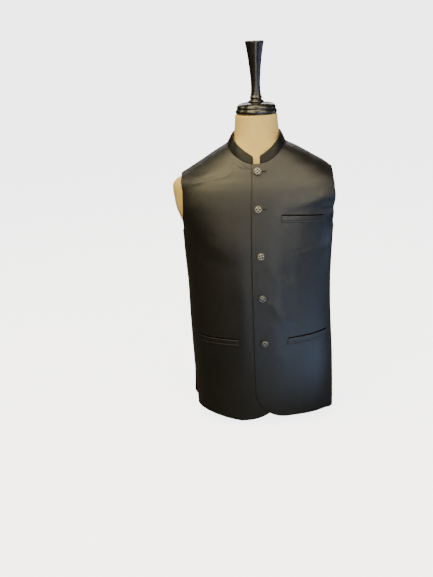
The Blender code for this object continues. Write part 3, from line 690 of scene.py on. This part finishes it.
def twill_group():
    """Suiting threads: fine slanting ribs, broken up by the single threads, with cloudy shades."""
    group, inside, outside = new_group("twill", ["Vector", "Ribs"], ["Height", "Thread", "Cloud"])
    where, ribs = inside.outputs["Vector"], inside.outputs["Ribs"]
    split = put(group, "ShaderNodeSeparateXYZ", where)
    slant = plus(group, split.outputs[0], times(group, split.outputs[1], 0.8))
    rib = wave(group, times(group, slant, ribs), 2 * math.pi)
    thread = wave(group, times(group, split.outputs[0], ribs), 4 * math.pi)
    fuzz = clouds(group, where, 1400.0, 3.0, 0.65)
    woven = plus(group, times(group, rib, 0.30), times(group, thread, 0.10))
    feed(
        outside,
        Height=plus(group, woven, fuzz),
        Thread=between(group, fuzz, 0.35, 0.68),
        Cloud=between(group, clouds(group, where, 9.0, 4.0, 0.6), 0.35, 0.68),
    )
    return group


TWILL = twill_group()


def suiting_material(name, gloss):
    """Black suiting with a soft sheen: faint twill, mottled shades, edges shiny from the press, lighter
    edges that are part wear and part painted highlight, and painted shade where a mesh asks for it.
    """
    made, tree, shader = new_material(
        name, Sheen_Weight=0.03, Sheen_Roughness=0.4, Specular_IOR_Level=gloss
    )
    where = put(tree, "ShaderNodeUVMap", uv_map="cloth").outputs[0]
    twill = put(tree, "ShaderNodeGroup", node_tree=TWILL, Vector=where, Ribs=1100.0)
    cloud, edge, dark = twill.outputs["Cloud"], point_value(tree, "edge"), point_value(tree, "dark")
    mottle = between(tree, clouds(tree, where, 300.0, 2.0, 0.6), 0.3, 0.7)
    fleck = between(tree, twill.outputs["Thread"], 0.0, 1.0, 0.0, 0.5)
    black = blend(tree, cloud, (0.0020, 0.0020, 0.0019), (0.0036, 0.0035, 0.0033))
    shaded = blend(tree, times(tree, mottle, 0.5), black, (0.0080, 0.0076, 0.0064))
    flecked = blend(tree, fleck, shaded, (0.0090, 0.0086, 0.0080))
    # Lighter near the edges: partly wear, and partly a painted highlight on the rolled edges.
    edge_wear_and_highlight = blend(tree, between(tree, edge, 0.0, 2.2, 0.22, 0.0), flecked, (0.020, 0.019, 0.018))
    cloudy = between(tree, cloud, 0.0, 1.0, 0.39, 0.44)
    uneven = plus(tree, cloudy, between(tree, mottle, 0.0, 1.0, 0.07, -0.07))
    pressed = plus(tree, uneven, between(tree, edge, 0.0, 9.0, -0.05, 0.0))
    feed(
        shader,
        # Painted shade: where a mesh asks for it, the colour goes near black and the cloth rougher.
        Base_Color=blend(tree, dark, edge_wear_and_highlight, (0.0015, 0.0015, 0.0015)),
        Roughness=plus(tree, pressed, times(tree, dark, 0.4)),
        Normal=relief(tree, twill.outputs["Height"], 0.35, 0.00024),
    )
    return made


SUITING = suiting_material("suiting", 0.8)


def back_grid(half_columns, low_rows, high_rows):
    """Turn and height over the back, from the left side seam round to the right one.

    Rows rise from the hem to the underarm. Above it, each half is a patch between the armhole, the
    centre line, the underarm line and the shoulder seam with the neckline. A place in it is the sum
    of what lies between each two opposite sides, less what lies between the four corners.
    """
    near_side = [0.0005, 0.002, 0.0045, 0.0075]
    share = np.unique(np.concatenate([crowded(half_columns, 0.25), near_side]))[None, :]
    rise = edged(low_rows + 1, 0.45, EDGE_ROLL / LOWER_PANEL_HEIGHT, both=False)[:, None]
    low_rows = len(rise) - 1
    floor_turn = SIDE_SEAM_TURN + (180 - SIDE_SEAM_TURN) * share
    low_turn = floor_turn + 0 * rise
    up = 1 - (1 - np.linspace(0, 1, high_rows + 1)[1:, None]) ** 1.35
    hole_turn, hole_height = along(ARMHOLE_BACK, up)
    shoulder, neck_seam = ARMHOLE_BACK[-1], NECKLINE[6]
    seam_share = 0.6
    on_seam = np.clip(share / seam_share, 0, 1)
    on_neck = np.clip((share - seam_share) / (1 - seam_share), 0, 1)
    neck_turn = SHOULDER_SEAM_TURN + (180 - SHOULDER_SEAM_TURN) * on_neck
    top_turn = np.where(share < seam_share, SHOULDER_SEAM_TURN, neck_turn)
    seam_height = shoulder.height + (neck_seam.height - shoulder.height) * on_seam
    top_height = np.where(share < seam_share, seam_height, neckline_height(top_turn))
    corner_turn = (1 - up) * SIDE_SEAM_TURN + up * SHOULDER_SEAM_TURN
    corner_height = (1 - up) * UNDERARM_HEIGHT + up * shoulder.height
    high_turn = (1 - up) * floor_turn + up * top_turn + (1 - share) * (hole_turn - corner_turn)
    high_height = (1 - up) * UNDERARM_HEIGHT + up * top_height + (1 - share) * (hole_height - corner_height)
    half_turn = np.concatenate([low_turn, high_turn])
    half_rise = np.concatenate([rise + 0 * share, np.ones_like(high_turn)])
    half_high = np.concatenate([0 * low_turn, high_height])
    turn = np.concatenate([half_turn, 360 - half_turn[:, -2::-1]], axis=1)
    rise = np.concatenate([half_rise, half_rise[:, -2::-1]], axis=1)
    high = np.concatenate([half_high, half_high[:, -2::-1]], axis=1)
    hem = eased(BACK_HEM, "height", turn, by="turn")
    low = hem + (UNDERARM_HEIGHT - hem) * rise
    height = np.where(np.arange(len(turn))[:, None] <= low_rows, low, high)
    turn, height = round_corner(turn, height, SIDE_SEAM_TURN, 1, hem[0, 0], BACK_CORNER)
    turn, height = round_corner(turn, height, 360 - SIDE_SEAM_TURN, -1, hem[0, -1], BACK_CORNER)
    turn[:, 0] += HALF_SEAM_TURN
    turn[:, -1] -= HALF_SEAM_TURN
    top_left = turn[-1] < SHOULDER_SEAM_TURN + 0.5
    top_right = turn[-1] > 359.5 - SHOULDER_SEAM_TURN
    turn[-1] += HALF_SEAM_TURN * top_left - HALF_SEAM_TURN * top_right
    return turn, height


def seam_shade(middle, height, is_front):
    """Painted shade where a panel is sewn to the next one: along its side seams, its top row and its
    neckline.
    """
    across, up = arc_lengths(middle, 1), arc_lengths(middle, 0)
    start, end = height[:, :1], height[:, -1:]
    start_sewn = start > NECKLINE[0].height + 0.5 if is_front else start < UNDERARM_HEIGHT + 1
    top = ridge(up[-1:] - up, 0, 1.5)
    first_side = ridge(across, 0, 1.4) * start_sewn
    last_side = ridge(across[:, -1:] - across, 0, 1.4) * (end < UNDERARM_HEIGHT + 1)
    return 0.95 * np.max([top, first_side, last_side], axis=0)


def cloth_panel(name, turn, height, lift, shade=0.0):
    """A body panel: the shell of cloth over its grid of places."""
    middle = cloth_point(turn, height, lift + CLOTH_WALL / 2)
    uv = cloth_uv(middle, middle[:, :1, 0])
    is_front = abs(turn[0, 0]) < SIDE_SEAM_TURN - 1
    shade = np.maximum(shade, seam_shade(middle, height, is_front))
    return shell(name, middle, section_normal(turn, height), CLOTH_WALL, SUITING, uv, EDGE_ROLL, shade)


back_turn, back_height = back_grid(64, 78, 76)
back = cloth_panel("back_panel", back_turn, back_height, vent_shift(back_turn, back_height))
fasten(back, "suiting", "back")


# Right front: black twill suiting with its underlap, which passes beneath the left front and
# carries the buttons. Its neckline meets the collar, and the shoulder and side meet the back.

RIGHT_FRONT_HEM = [Place(*row) for row in ((0, 14), (12, 12), (28, 18), (40, 25), (54, 31.5), (90, 39))]
LEFT_FRONT_HEM = [Place(*row) for row in ((0, 23.5), (30, 25), (50, 25), (68, 16), (90, 6))]
FRONT_WIDTH = 250.0
ARMHOLE_FRONT = [Place(*row) for row in (
    (90, 508), (81, 510), (72.5, 519), (65, 539), (59.5, 562),
    (56.5, 590), (56.5, 615), (60, 637), (67.5, 650.5), (78, 659),
)]
FrontEdge = namedtuple("FrontEdge", "height left_front right_front")
FRONT_EDGES = [FrontEdge(*row) for row in (
    (0, -25.0, 24.0), (233, -23.8, 24.0), (355, -23.5, 24.0),
    (460, -22.0, 23.0), (577, -19.4, 21.0), (660, -14.0, 18.0),
    (740, -12.0, 16.0),
)]
Cut = namedtuple("Cut", "side edge hem corner vent_corner")
LEFT_CUT = Cut(1, "left_front", LEFT_FRONT_HEM, Corner(26, 74), Corner(3, 6))
RIGHT_CUT = Cut(-1, "right_front", RIGHT_FRONT_HEM, Corner(28, 43), Corner(12, 24))


def front_edge_turn(cut, height):
    """The turn of a front's edge at a height, counted towards that front's own side."""
    return turn_at(eased(FRONT_EDGES, cut.edge, height), height) * cut.side


def front_grid(cut, columns, low_rows, chest_rows, neck_rows):
    """Turn and height over one front.

    Rows run across it: below the underarm from the front edge to the side seam, and above it from the
    front edge, then the neckline, to the armhole. Each place lies at a share of the way between them.
    """
    edge_top = NECKLINE[0].height
    share = edged(columns, 0.15, EDGE_ROLL / FRONT_WIDTH)[None, :]
    rise = edged(low_rows + 1, 0.45, EDGE_ROLL / LOWER_PANEL_HEIGHT, both=False)[:, None]
    foot_turn = front_edge_turn(cut, cut.hem[0].height)
    foot_turn = foot_turn + (SIDE_SEAM_TURN - foot_turn) * share
    hem = eased(cut.hem, "height", np.maximum(foot_turn, 0), by="turn")
    low_height = hem + (UNDERARM_HEIGHT - hem) * rise
    edge = front_edge_turn(cut, low_height)
    low_turn = edge + (SIDE_SEAM_TURN - edge) * share
    low_turn, low_height = round_corner(low_turn, low_height, edge[:, :1], 1, hem[:, :1], cut.corner)
    low_turn, low_height = round_corner(
        low_turn, low_height, SIDE_SEAM_TURN, -1, hem[:, -1:], cut.vent_corner
    )
    chest_height = np.linspace(UNDERARM_HEIGHT, edge_top, chest_rows + 1)[1:]
    chest_turn = front_edge_turn(cut, chest_height)
    neck_share = np.linspace(0, 1, neck_rows + 1)[1:] ** 1.25
    neck_turn = chest_turn[-1] + (SHOULDER_SEAM_TURN - chest_turn[-1]) * neck_share
    neck_height = neckline_height(cut.side * np.maximum(neck_turn, 0))
    inner_turn = np.concatenate([chest_turn, neck_turn])[:, None]
    inner_height = np.concatenate([chest_height, neck_height])[:, None]
    way_up = np.linspace(0, 1, chest_rows + neck_rows + 1)[1:, None]
    outer_turn, outer_height = along(ARMHOLE_FRONT, way_up)
    high_turn = inner_turn * (1 - share) + outer_turn * share
    high_height = inner_height * (1 - share) + outer_height * share
    turn = np.concatenate([low_turn, high_turn])
    turn[:, -1] -= HALF_SEAM_TURN
    turn[-1] -= HALF_SEAM_TURN
    return cut.side * turn, np.concatenate([low_height, high_height])


def beside(points, line):
    """How far each point lies from the nearest stretch of a bent line, both seen from the front."""
    x, height = points[..., 0].reshape(-1, 1), points[..., 2].reshape(-1, 1)
    start_x, start_height = line[:-1, 0], line[:-1, 2]
    run_x, run_height = np.diff(line[:, 0]), np.diff(line[:, 2])
    length = np.maximum(run_x**2 + run_height**2, 1e-9)
    past = np.clip(((x - start_x) * run_x + (height - start_height) * run_height) / length, 0, 1)
    gap = np.hypot(x - start_x - past * run_x, height - start_height - past * run_height)
    return gap.min(axis=1).reshape(points.shape[:-1])


right_turn, right_height = front_grid(RIGHT_CUT, 84, 104, 40, 64)
left_turn, left_height = front_grid(LEFT_CUT, 84, 104, 40, 64)
lap_edge_turn = np.concatenate([left_turn[::-2, 0], left_turn[0, ::2]])
lap_edge_height = np.concatenate([left_height[::-2, 0], left_height[0, ::2]])
under_lap = beside(cloth_point(right_turn, right_height), cloth_point(lap_edge_turn, lap_edge_height))
right_lift = vent_shift(right_turn, right_height)
# Painted shadow: a near-black band on the right front along the left front's edge, where the upper front's
# shade falls.
right_shade = 0.95 * ridge(under_lap, 0.4, 1.9)
right_front = cloth_panel("right_front_panel", right_turn, right_height, right_lift, right_shade)
fasten(right_front, "suiting", "right_front")


# Left front: the upper one of the two, cut like the right one with a rounder corner at the hem. It
# is lifted over the underlap and carries the buttonholes and two welt pockets.

left_lift = vent_shift(left_turn, left_height)
left_lift = left_lift + lap_lift(section_point(CLOTH_SECTIONS, left_turn, left_height)[..., 0])
left_front = cloth_panel("left_front_panel", left_turn, left_height, left_lift)
fasten(left_front, "suiting", "left_front")


# Stand collar: one interlined band on the neckline, which leans towards the neck. Its two ends stand
# apart at the throat and their upper corners are rounded.

COLLAR_WALL = 2.4
COLLAR_LENGTH = 430.0
COLLAR_GRID_HEIGHT = 26.0
COLLAR_HEIGHT = 30.5
COLLAR_BACK_HEIGHT = 28.0
COLLAR_END_DROP = 11.5
COLLAR_END_RUN = 24.0
Lean = namedtuple("Lean", "turn degrees")
COLLAR_LEANS = [Lean(*row) for row in (
    (0, 17), (12, 20), (24, 18), (34, 19), (45, 22.5), (60, 25), (75, 25),
    (90, 23.4), (105, 22), (120, 19.7), (150, 13.2), (180, 10), (210, 14.7),
    (240, 24.4), (255, 28), (270, 29.4), (285, 27.5), (300, 26.5), (320, 23.5),
    (333, 18), (346, 20), (360, 17),
)]
COLLAR_END_RIGHT = -11.0
COLLAR_END_LEFT = 6.0
COLLAR_CORNER = 4.0
COLLAR_ROLL = 1.4
COLLAR_CLEARANCE = 0.06
COLLAR_CLOTH = suiting_material("collar_suiting", 0.3)


def collar():
    """The band: its foot follows the neckline, and each column rises at the collar's own lean.

    The foot is set back from the panel's edge by as much as keeps the two walls just apart.
    """
    start = turn_at(COLLAR_END_LEFT, NECKLINE[0].height)
    end = turn_at(COLLAR_END_RIGHT, NECKLINE[0].height) + 360
    turn = start + (end - start) * edged(230, 0.35, EDGE_ROLL / COLLAR_LENGTH)
    height = neckline_height(turn)
    plain = section_point(CLOTH_SECTIONS, turn, height)
    x = plain[:, 0]
    lift = np.where((turn < 90) & (x > 0), lap_lift(x), 0.0)
    normal = section_normal(turn, height)
    middle = plain + normal * (lift + fold_out(turn, height) + CLOTH_WALL / 2)[:, None]
    run = np.gradient(middle, arc_lengths(middle[None], 1)[0], axis=0)
    to_neck = unit(np.cross(run, normal))
    to_neck *= np.sign(to_neck[:, 2:])
    lean = np.radians(eased(COLLAR_LEANS, "degrees", np.mod(turn, 360), by="turn"))[:, None]
    inward = unit(-middle * [1, 1, 0])
    rise = inward * np.sin(lean) + np.array([0, 0, 1]) * np.cos(lean)
    face = unit(np.cross(run, rise))
    face *= np.sign(np.sum(face * -inward, axis=1))[:, None]
    bend = COLLAR_WALL / 2 * np.sum(to_neck * rise, axis=1)
    half_walls = (CLOTH_WALL + COLLAR_WALL) / 2 + COLLAR_CLEARANCE
    apart = np.sqrt(bend**2 + half_walls**2 - (COLLAR_WALL / 2) ** 2)
    foot = middle + to_neck * (apart - bend - CLOTH_WALL / 2)[:, None]
    reach = arc_lengths(foot[None], 1)[0]
    from_end = np.minimum(reach, reach[-1] - reach)
    back_share = (1 - np.cos(np.radians(turn))) / 2
    tall = COLLAR_HEIGHT - (COLLAR_HEIGHT - COLLAR_BACK_HEIGHT) * back_share
    tall = tall - COLLAR_END_DROP * np.exp(-from_end / COLLAR_END_RUN)
    cut = np.clip(1 - from_end / COLLAR_CORNER, 0, 1)
    top = tall - COLLAR_CORNER * (1 - np.sqrt(1 - cut**2))
    share = edged(20, 0.1, EDGE_ROLL / COLLAR_GRID_HEIGHT)[:, None, None]
    spine = foot + rise * top[:, None] * share + face * 0.5 * np.sin(np.pi * share)
    outwards = np.broadcast_to(face, spine.shape)
    up = arc_lengths(spine, 0)
    uv = np.stack([arc_lengths(spine, 1), up], -1)
    # Painted shade along the collar's foot, where it meets the neckline.
    dark = ridge(up, 0, 1.6)
    return shell("collar_band", spine, outwards, COLLAR_WALL, COLLAR_CLOTH, uv, COLLAR_ROLL, dark)


collar_band = fasten(collar(), "suiting", "collar")


# Welts: three strips of suiting, folded double and stitched over the pocket mouths, one at the chest
# and one at each side below. The shade in each mouth is a painted shadow: a thin near-black strip
# along the welt's upper edge.

LAP_EDGE_X = -26.0
WELT_RISE = 2.1
WELT_LENGTH = 105.0
WELT_ROLL = 1.2
FOOT_STITCH = 3.6
END_STITCH = 2.2
Welt = namedtuple("Welt", "name top_in top_out bottom_in bottom_out")
WELTS = [Welt(*row) for row in (
    ("chest_welt", (54, 559.5), (161, 551), (53.5, 543), (160, 534)),
    ("left_pocket_welt", (64, 240.5), (166, 246), (59.5, 224.5), (167, 229.5)),
    ("right_pocket_welt", (-66, 241), (-164, 244), (-61.5, 225), (-162, 227.5)),
)]


def front_face(x, height, out):
    """A place that lies out from the front panels' outer face, and the direction out of it."""
    turn = turn_at(x, height)
    lap = np.where(x > LAP_EDGE_X, lap_lift(x), 0.0)
    return cloth_point(turn, height, CLOTH_WALL + lap + out), section_normal(turn, height)


def pocket_welt(welt):
    """A welt as one closed strip, low at its sewn foot and full at its upper edge.

    Its height is a swell that rises from the foot, less the grooves of the stitches along the foot
    and the ends, and it comes down to the rim in a half round.
    """
    across = edged(70, 0.2, WELT_ROLL / WELT_LENGTH)[None, :]
    near_edges = [0.01, 0.025, 0.05, 0.95, 0.975, 0.99]
    up = np.unique(np.concatenate([np.linspace(0, 1, 27), near_edges]))[:, None]
    x, height = [
        (welt.bottom_in[i] * (1 - across) + welt.bottom_out[i] * across) * (1 - up)
        + (welt.top_in[i] * (1 - across) + welt.top_out[i] * across) * up
        for i in (0, 1)
    ]
    flat = np.stack([x, height], -1)
    from_foot, from_end = arc_lengths(flat, 0), arc_lengths(flat, 1)
    to_top = from_foot[-1:] - from_foot
    to_end = np.minimum(from_end, from_end[:, -1:] - from_end)
    to_rim = np.minimum(to_top, to_end)
    swell = WELT_RISE * (1 - np.exp(-from_foot / 0.9)) - 1.05 * ridge(from_foot, FOOT_STITCH, 0.8)
    swell = np.maximum(swell - 0.5 * ridge(to_end, END_STITCH, 0.7), 0.25)
    half_round = np.sqrt(1 - (1 - np.clip(to_rim, 0, 1)) ** 2)
    outer, _ = front_face(x, height, 0.9 * (1 - half_round) + swell * half_round)
    inner, _ = front_face(x, height, 0.12 + 0.78 * (1 - half_round))
    rows, columns = x.shape
    count = rows * columns
    index = np.arange(count).reshape(rows, columns)
    rim = np.concatenate([index[0, :-1], index[:-1, -1], index[-1, :0:-1], index[:0:-1, 0]])
    after = np.roll(rim, -1)
    edge_faces = np.stack([after, rim, rim + count, after + count], -1)
    inner_faces = grid_faces(rows, columns, count)[:, ::-1]
    faces = np.concatenate([grid_faces(rows, columns), inner_faces, edge_faces])
    if welt.top_in[0] < 0:
        faces = faces[:, ::-1]
    points = np.concatenate([outer.reshape(-1, 3), inner.reshape(-1, 3)])
    # Painted shade in the stitch grooves along the foot and at the ends.
    dark = np.clip(ridge(from_foot, FOOT_STITCH, 0.9) + 0.5 * ridge(to_end, END_STITCH, 0.6), 0, 1)
    edge = np.minimum(to_rim, from_foot)
    values = {"edge": np.tile(edge.ravel(), 2), "dark": np.tile(dark.ravel(), 2)}
    uv = np.tile(flat.reshape(-1, 2), (2, 1))
    return add_mesh(welt.name + "_strip", points, faces, SUITING, uv, values)


# Suiting without gloss, for the painted shadow strips in the pocket mouths.
MOUTH_SHADOW_CLOTH = suiting_material("mouth_shadow_cloth", 0.0)


def pocket_mouth(welt):
    """A painted shadow for the pocket mouth: a thin near-black strip without gloss along the welt's upper
    edge.
    """
    across = np.linspace(0.004, 0.996, 70)[None, :]
    up = np.array([-1.0, 0.0, 1.0, 2.2, 3.0])[:, None]
    x = welt.top_in[0] + (welt.top_out[0] - welt.top_in[0]) * across + 0 * up
    height = welt.top_in[1] + (welt.top_out[1] - welt.top_in[1]) * across + up
    middle, outwards = front_face(x, height, 0.26)
    uv = np.stack([x, height], -1)
    return shell(welt.name + "_mouth_shadow", middle, outwards, 0.3, MOUTH_SHADOW_CLOTH, uv, 0.5, np.ones(x.shape))


for welt in WELTS:
    strip = fasten(pocket_welt(welt), "suiting", welt.name)
    mouth_shadow = fasten(pocket_mouth(welt), "suiting")


# Buttonholes: five slits worked in black twist through the left front, each with an eye at its outer
# end and close stitches round it. The button covers the inner half.

Button = namedtuple("Button", "name x height spin tilt hole_past")
BUTTONS = [Button(*row) for row in (
    ("button_1", -0.7, 666.0, 42, 0, 19.5),
    ("button_2", -2.4, 576.8, 40, 0, 18.5),
    ("button_3", 0.6, 460.5, 12, -3, 11.5),
    ("button_4", 1.2, 352.6, 58, 7, 12.5),
    ("button_5", 4.0, 231.4, 64, 9, 13.5),
)]
HOLE_BEFORE = 4.0
EYE_RADIUS = 0.75
RING_OFF = 1.45
STITCH_PITCH = 0.75


def thread_material():
    """Black buttonhole twist: a tight silky cord, almost black, with painted shade, nearer black and matt,
    over the slit and eye.
    """
    made, tree, shader = new_material("black_twist", Roughness=0.42, Sheen_Weight=0.2)
    where = put(tree, "ShaderNodeTexCoord").outputs["Object"]
    dark = point_value(tree, "dark")
    fuzz = clouds(tree, where, 2600.0, 2.0, 0.6)
    black = blend(tree, fuzz, (0.006, 0.006, 0.006), (0.026, 0.025, 0.024))
    feed(
        shader,
        Base_Color=blend(tree, dark, black, (0.0008, 0.0008, 0.0008)),
        Roughness=between(tree, dark, 0.0, 1.0, 0.42, 0.95),
        Normal=relief(tree, fuzz, 0.4, 0.0002),
    )
    return made


TWIST = thread_material()


def buttonhole(button):
    """A low ring of stitches round a slit and its eye.

    The height is a bump at a set distance from both, with one wave for each stitch along it.
    """
    forward = np.linspace(-HOLE_BEFORE - 3.2, button.hole_past + 3.6, 150)[None, :]
    upward = np.linspace(-3.4, 3.4, 31)[:, None]
    past_end = forward - np.clip(forward, -HOLE_BEFORE, button.hole_past)
    from_eye = np.hypot(forward - button.hole_past, upward) - EYE_RADIUS
    away = np.minimum(np.hypot(past_end, upward), np.maximum(from_eye, 0))
    stitches = 0.5 + 0.5 * np.sin(2 * np.pi * forward / STITCH_PITCH)
    raised = 0.62 * ridge(away, RING_OFF, 0.62) * (0.72 + 0.28 * stitches)
    sunk = 0.35 * np.clip((away - 2.4) / 0.5, 0, 1)
    x, height = button.x + forward + 0 * upward, button.height + upward + 0 * forward
    points, _ = front_face(x, height, 0.02 + raised - sunk)
    faces = grid_faces(*x.shape)
    # Painted shade along the slit and round the eye, where the cut stands open.
    values = {"dark": np.clip(1.6 - away / 0.9, 0, 1).ravel()}
    return add_mesh(button.name + "_hole", points.reshape(-1, 3), faces, TWIST, None, values)


for button in BUTTONS:
    fasten(buttonhole(button), "suiting")


# Buttons: five domed metal shank buttons, cast with a raised plain lattice inside a rim and finished
# in antique silver, which stays dark in the hollows. Each is sewn on by its shank.

# Radius and height from the shank's end to the widest edge, and the radii of the domed face
BUTTON_BACK = [
    (3.1, 0.3), (3.3, 0.5), (3.1, 1.2), (3.1, 2.2), (4.6, 2.5), (8.4, 2.65), (9.7, 3.05), (10.2, 3.6),
]
FACE_RADII = [10.25, 10.1, 9.7, 9.2, 8.8, 8.5, 8.2, *np.linspace(7.8, 0.35, 24)]
LATTICE_PITCH = 6.0


def metal_material():
    """Antique silver: bright where it is rubbed on the raised lattice, brown-black in the hollows."""
    made, tree, shader = new_material("antique_metal", Metallic=1.0)
    where = put(tree, "ShaderNodeTexCoord").outputs["Object"]
    spots = clouds(tree, where, 600.0, 3.0, 0.6)
    rubbed = times(tree, point_value(tree, "raised"), between(tree, spots, 0.3, 0.7, 0.75, 1.0))
    feed(
        shader,
        Base_Color=blend(tree, rubbed, (0.008, 0.007, 0.006), (0.62, 0.60, 0.56)),
        Roughness=between(tree, rubbed, 0.0, 1.0, 0.75, 0.34),
        Normal=relief(tree, spots, 0.3, 0.0002),
    )
    return made


METAL = metal_material()


def lattice(x, y):
    """Raised bars that cross at right angles: 1 on a bar and 0 in the cells between them."""
    from_bar = [np.abs(np.mod(at / LATTICE_PITCH + 0.5, 1) - 0.5) * LATTICE_PITCH for at in (x, y)]
    return ridge(np.minimum(*from_bar), 0, 1.0)


def shank_button(button):
    """A button turned from its back's outline, with the lattice raised on its domed face."""
    sides = 96
    radius = np.array(FACE_RADII)
    dome = 3.75 + 2.3 * np.sqrt(np.clip(1 - (radius / 10.9) ** 2, 0, 1))
    rim = 0.35 * ridge(radius, 9.45, 0.42) - 0.35 * ridge(radius, 8.55, 0.3)
    back = turned_rings(BUTTON_BACK, sides)
    face = turned_rings(np.stack([radius, dome + rim], -1), sides)
    bars = lattice(face[..., 0], face[..., 1]) * np.clip((8.35 - radius) / 0.5, 0, 1)[:, None]
    face[..., 2] += 0.7 * bars
    back_raised = np.full(back[..., 0].size, 0.25)
    face_raised = np.clip(bars**1.5 + 0.45 * ridge(radius, 9.5, 0.6)[:, None], 0, 1)
    raised = np.concatenate([back_raised, face_raised.ravel(), [0.2, 1.0]])
    middle_height = face[-1, :, 2].mean()
    points, faces = capped_rings(np.concatenate([back, face]), (0, 0, 0.3), (0, 0, middle_height))
    seat, normal = front_face(np.array(button.x), np.array(button.height), 0.0)
    facing = Vector(normal).to_track_quat("Z", "Y").to_matrix().to_4x4()
    tilt = Matrix.Rotation(math.radians(button.tilt), 4, "X")
    spin = Matrix.Rotation(math.radians(button.spin), 4, "Z")
    turned = np.array(facing @ tilt @ spin)[:3, :3]
    placed = points @ turned.T + seat
    return add_mesh(button.name + "_metal", placed, faces, METAL, None, {"raised": raised})


for button in BUTTONS:
    fasten(shank_button(button), "antique_metal", button.name)


# Floor, light and camera: a plain pale floor, soft warm light from the upper left, cooler light from
# the right, and the photograph's view from a little above.

FLOOR_REACH = 30000.0
FORM_MIDDLE = Vector((0, 0, 0.45))


def floor_material():
    """A matt pale floor with an even glow, which throws little light back up."""
    made, tree, shader = new_material(
        "floor", Roughness=0.9, Specular_IOR_Level=0.1, Emission_Strength=4.0
    )
    seen = put(tree, "ShaderNodeLightPath").outputs["Is Camera Ray"]
    feed(
        shader,
        Base_Color=blend(tree, seen, (0.05, 0.05, 0.05), (0.75, 0.75, 0.75)),
        Emission_Color=blend(tree, seen, (0.0, 0.0, 0.0), (1.0, 1.0, 1.0)),
    )
    return made


def soft_light(name, size, brightness, colour, place, facing):
    """A rectangular soft light that the camera doesn't see."""
    light = bpy.data.lights.new(name, "AREA")
    light.shape = "RECTANGLE"
    light.size, light.size_y = size
    light.energy = brightness * math.pi * size[0] * size[1]
    light.color = colour
    lamp = bpy.data.objects.new(name, light)
    lamp.location = place
    lamp.rotation_euler = facing
    lamp.visible_camera = False
    bpy.context.scene.collection.objects.link(lamp)


def add_lamp(name, azimuth, elevation, distance, size, brightness, colour):
    """A light aimed at the middle of the form; azimuth is counted from the front to its left side."""
    way, tip = math.radians(azimuth), math.radians(elevation)
    level = math.cos(tip) * distance
    away = Vector((math.sin(way) * level, -math.cos(way) * level, math.sin(tip) * distance))
    facing = (-away).to_track_quat("-Z", "Y").to_euler()
    soft_light(name, size, brightness, colour, FORM_MIDDLE + away, facing)


def add_floor_card(name, azimuth, distance, size, brightness, colour):
    """A light that lies on the floor and faces up, as a pale card throws light on the hem."""
    way = math.radians(azimuth)
    place = (math.sin(way) * distance, -math.cos(way) * distance, 0.012)
    soft_light(name, size, brightness, colour, place, (math.pi, 0, way))


floor_corners = np.array([(-1, -1, 0), (1, -1, 0), (1, 1, 0), (-1, 1, 0)]) * FLOOR_REACH
add_mesh("floor", floor_corners, [[0, 1, 2, 3]], floor_material())
add_lamp("warm_key", -38, 46, 2.8, (1.6, 1.4), 9.5, (1.0, 0.84, 0.46))
add_lamp("warm_top", -25, 80, 2.4, (1.6, 1.2), 5.0, (1.0, 0.86, 0.52))
add_lamp("warm_left", -15, 21, 2.8, (1.0, 0.7), 5.6, (1.0, 0.88, 0.66))
add_lamp("warm_shoulder", -100, 38, 2.6, (0.9, 0.9), 4.0, (1.0, 0.88, 0.56))
add_lamp("warm_right", 36, 42, 2.8, (1.6, 1.3), 6.1, (1.0, 0.86, 0.62))
add_lamp("pale_right", 50, 18, 2.8, (1.2, 0.7), 4.0, (1.0, 0.92, 0.76))
add_lamp("pale_front", 12, 10, 3.0, (1.2, 0.7), 2.6, (1.0, 0.94, 0.82))
add_lamp("pale_low", 18, -3, 2.8, (1.1, 0.7), 4.6, (0.78, 0.88, 1.0))
add_lamp("cool_side", 76, -2, 2.4, (1.4, 0.8), 1.5, (0.42, 0.61, 1.0))
add_lamp("cool_behind", 112, -4, 1.9, (0.9, 0.8), 1.6, (0.44, 0.63, 1.0))
add_lamp("rear", 180, 32, 3.0, (2.4, 1.2), 2.0, (1.0, 0.97, 0.93))
add_floor_card("cool_card", 46, 0.60, (0.90, 0.42), 2.2, (0.42, 0.62, 1.0))

world = bpy.data.worlds.new("room")
world.use_nodes = True
bpy.context.scene.world = world
room = world.node_tree
seen = put(room, "ShaderNodeLightPath").outputs["Is Camera Ray"]
feed(room.nodes["Background"], Color=blend(room, seen, (0.02, 0.02, 0.021), (4.0, 4.0, 4.0)))

camera = bpy.data.objects.new("camera", bpy.data.cameras.new("camera"))
bpy.context.scene.collection.objects.link(camera)
bpy.context.scene.camera = camera
camera.data.sensor_width = 36
camera.data.sensor_fit = "AUTO"
camera.data.lens = 56.03
camera.data.clip_end = 100
pan = Matrix.Rotation(math.radians(1.78), 4, "Z")
pitch = Matrix.Rotation(math.radians(90 - 16), 4, "X")
roll = Matrix.Rotation(math.radians(-2.58), 4, "Z")
camera.matrix_world = Matrix.Translation((-0.0462, -2.310, 1.007)) @ pan @ pitch @ roll
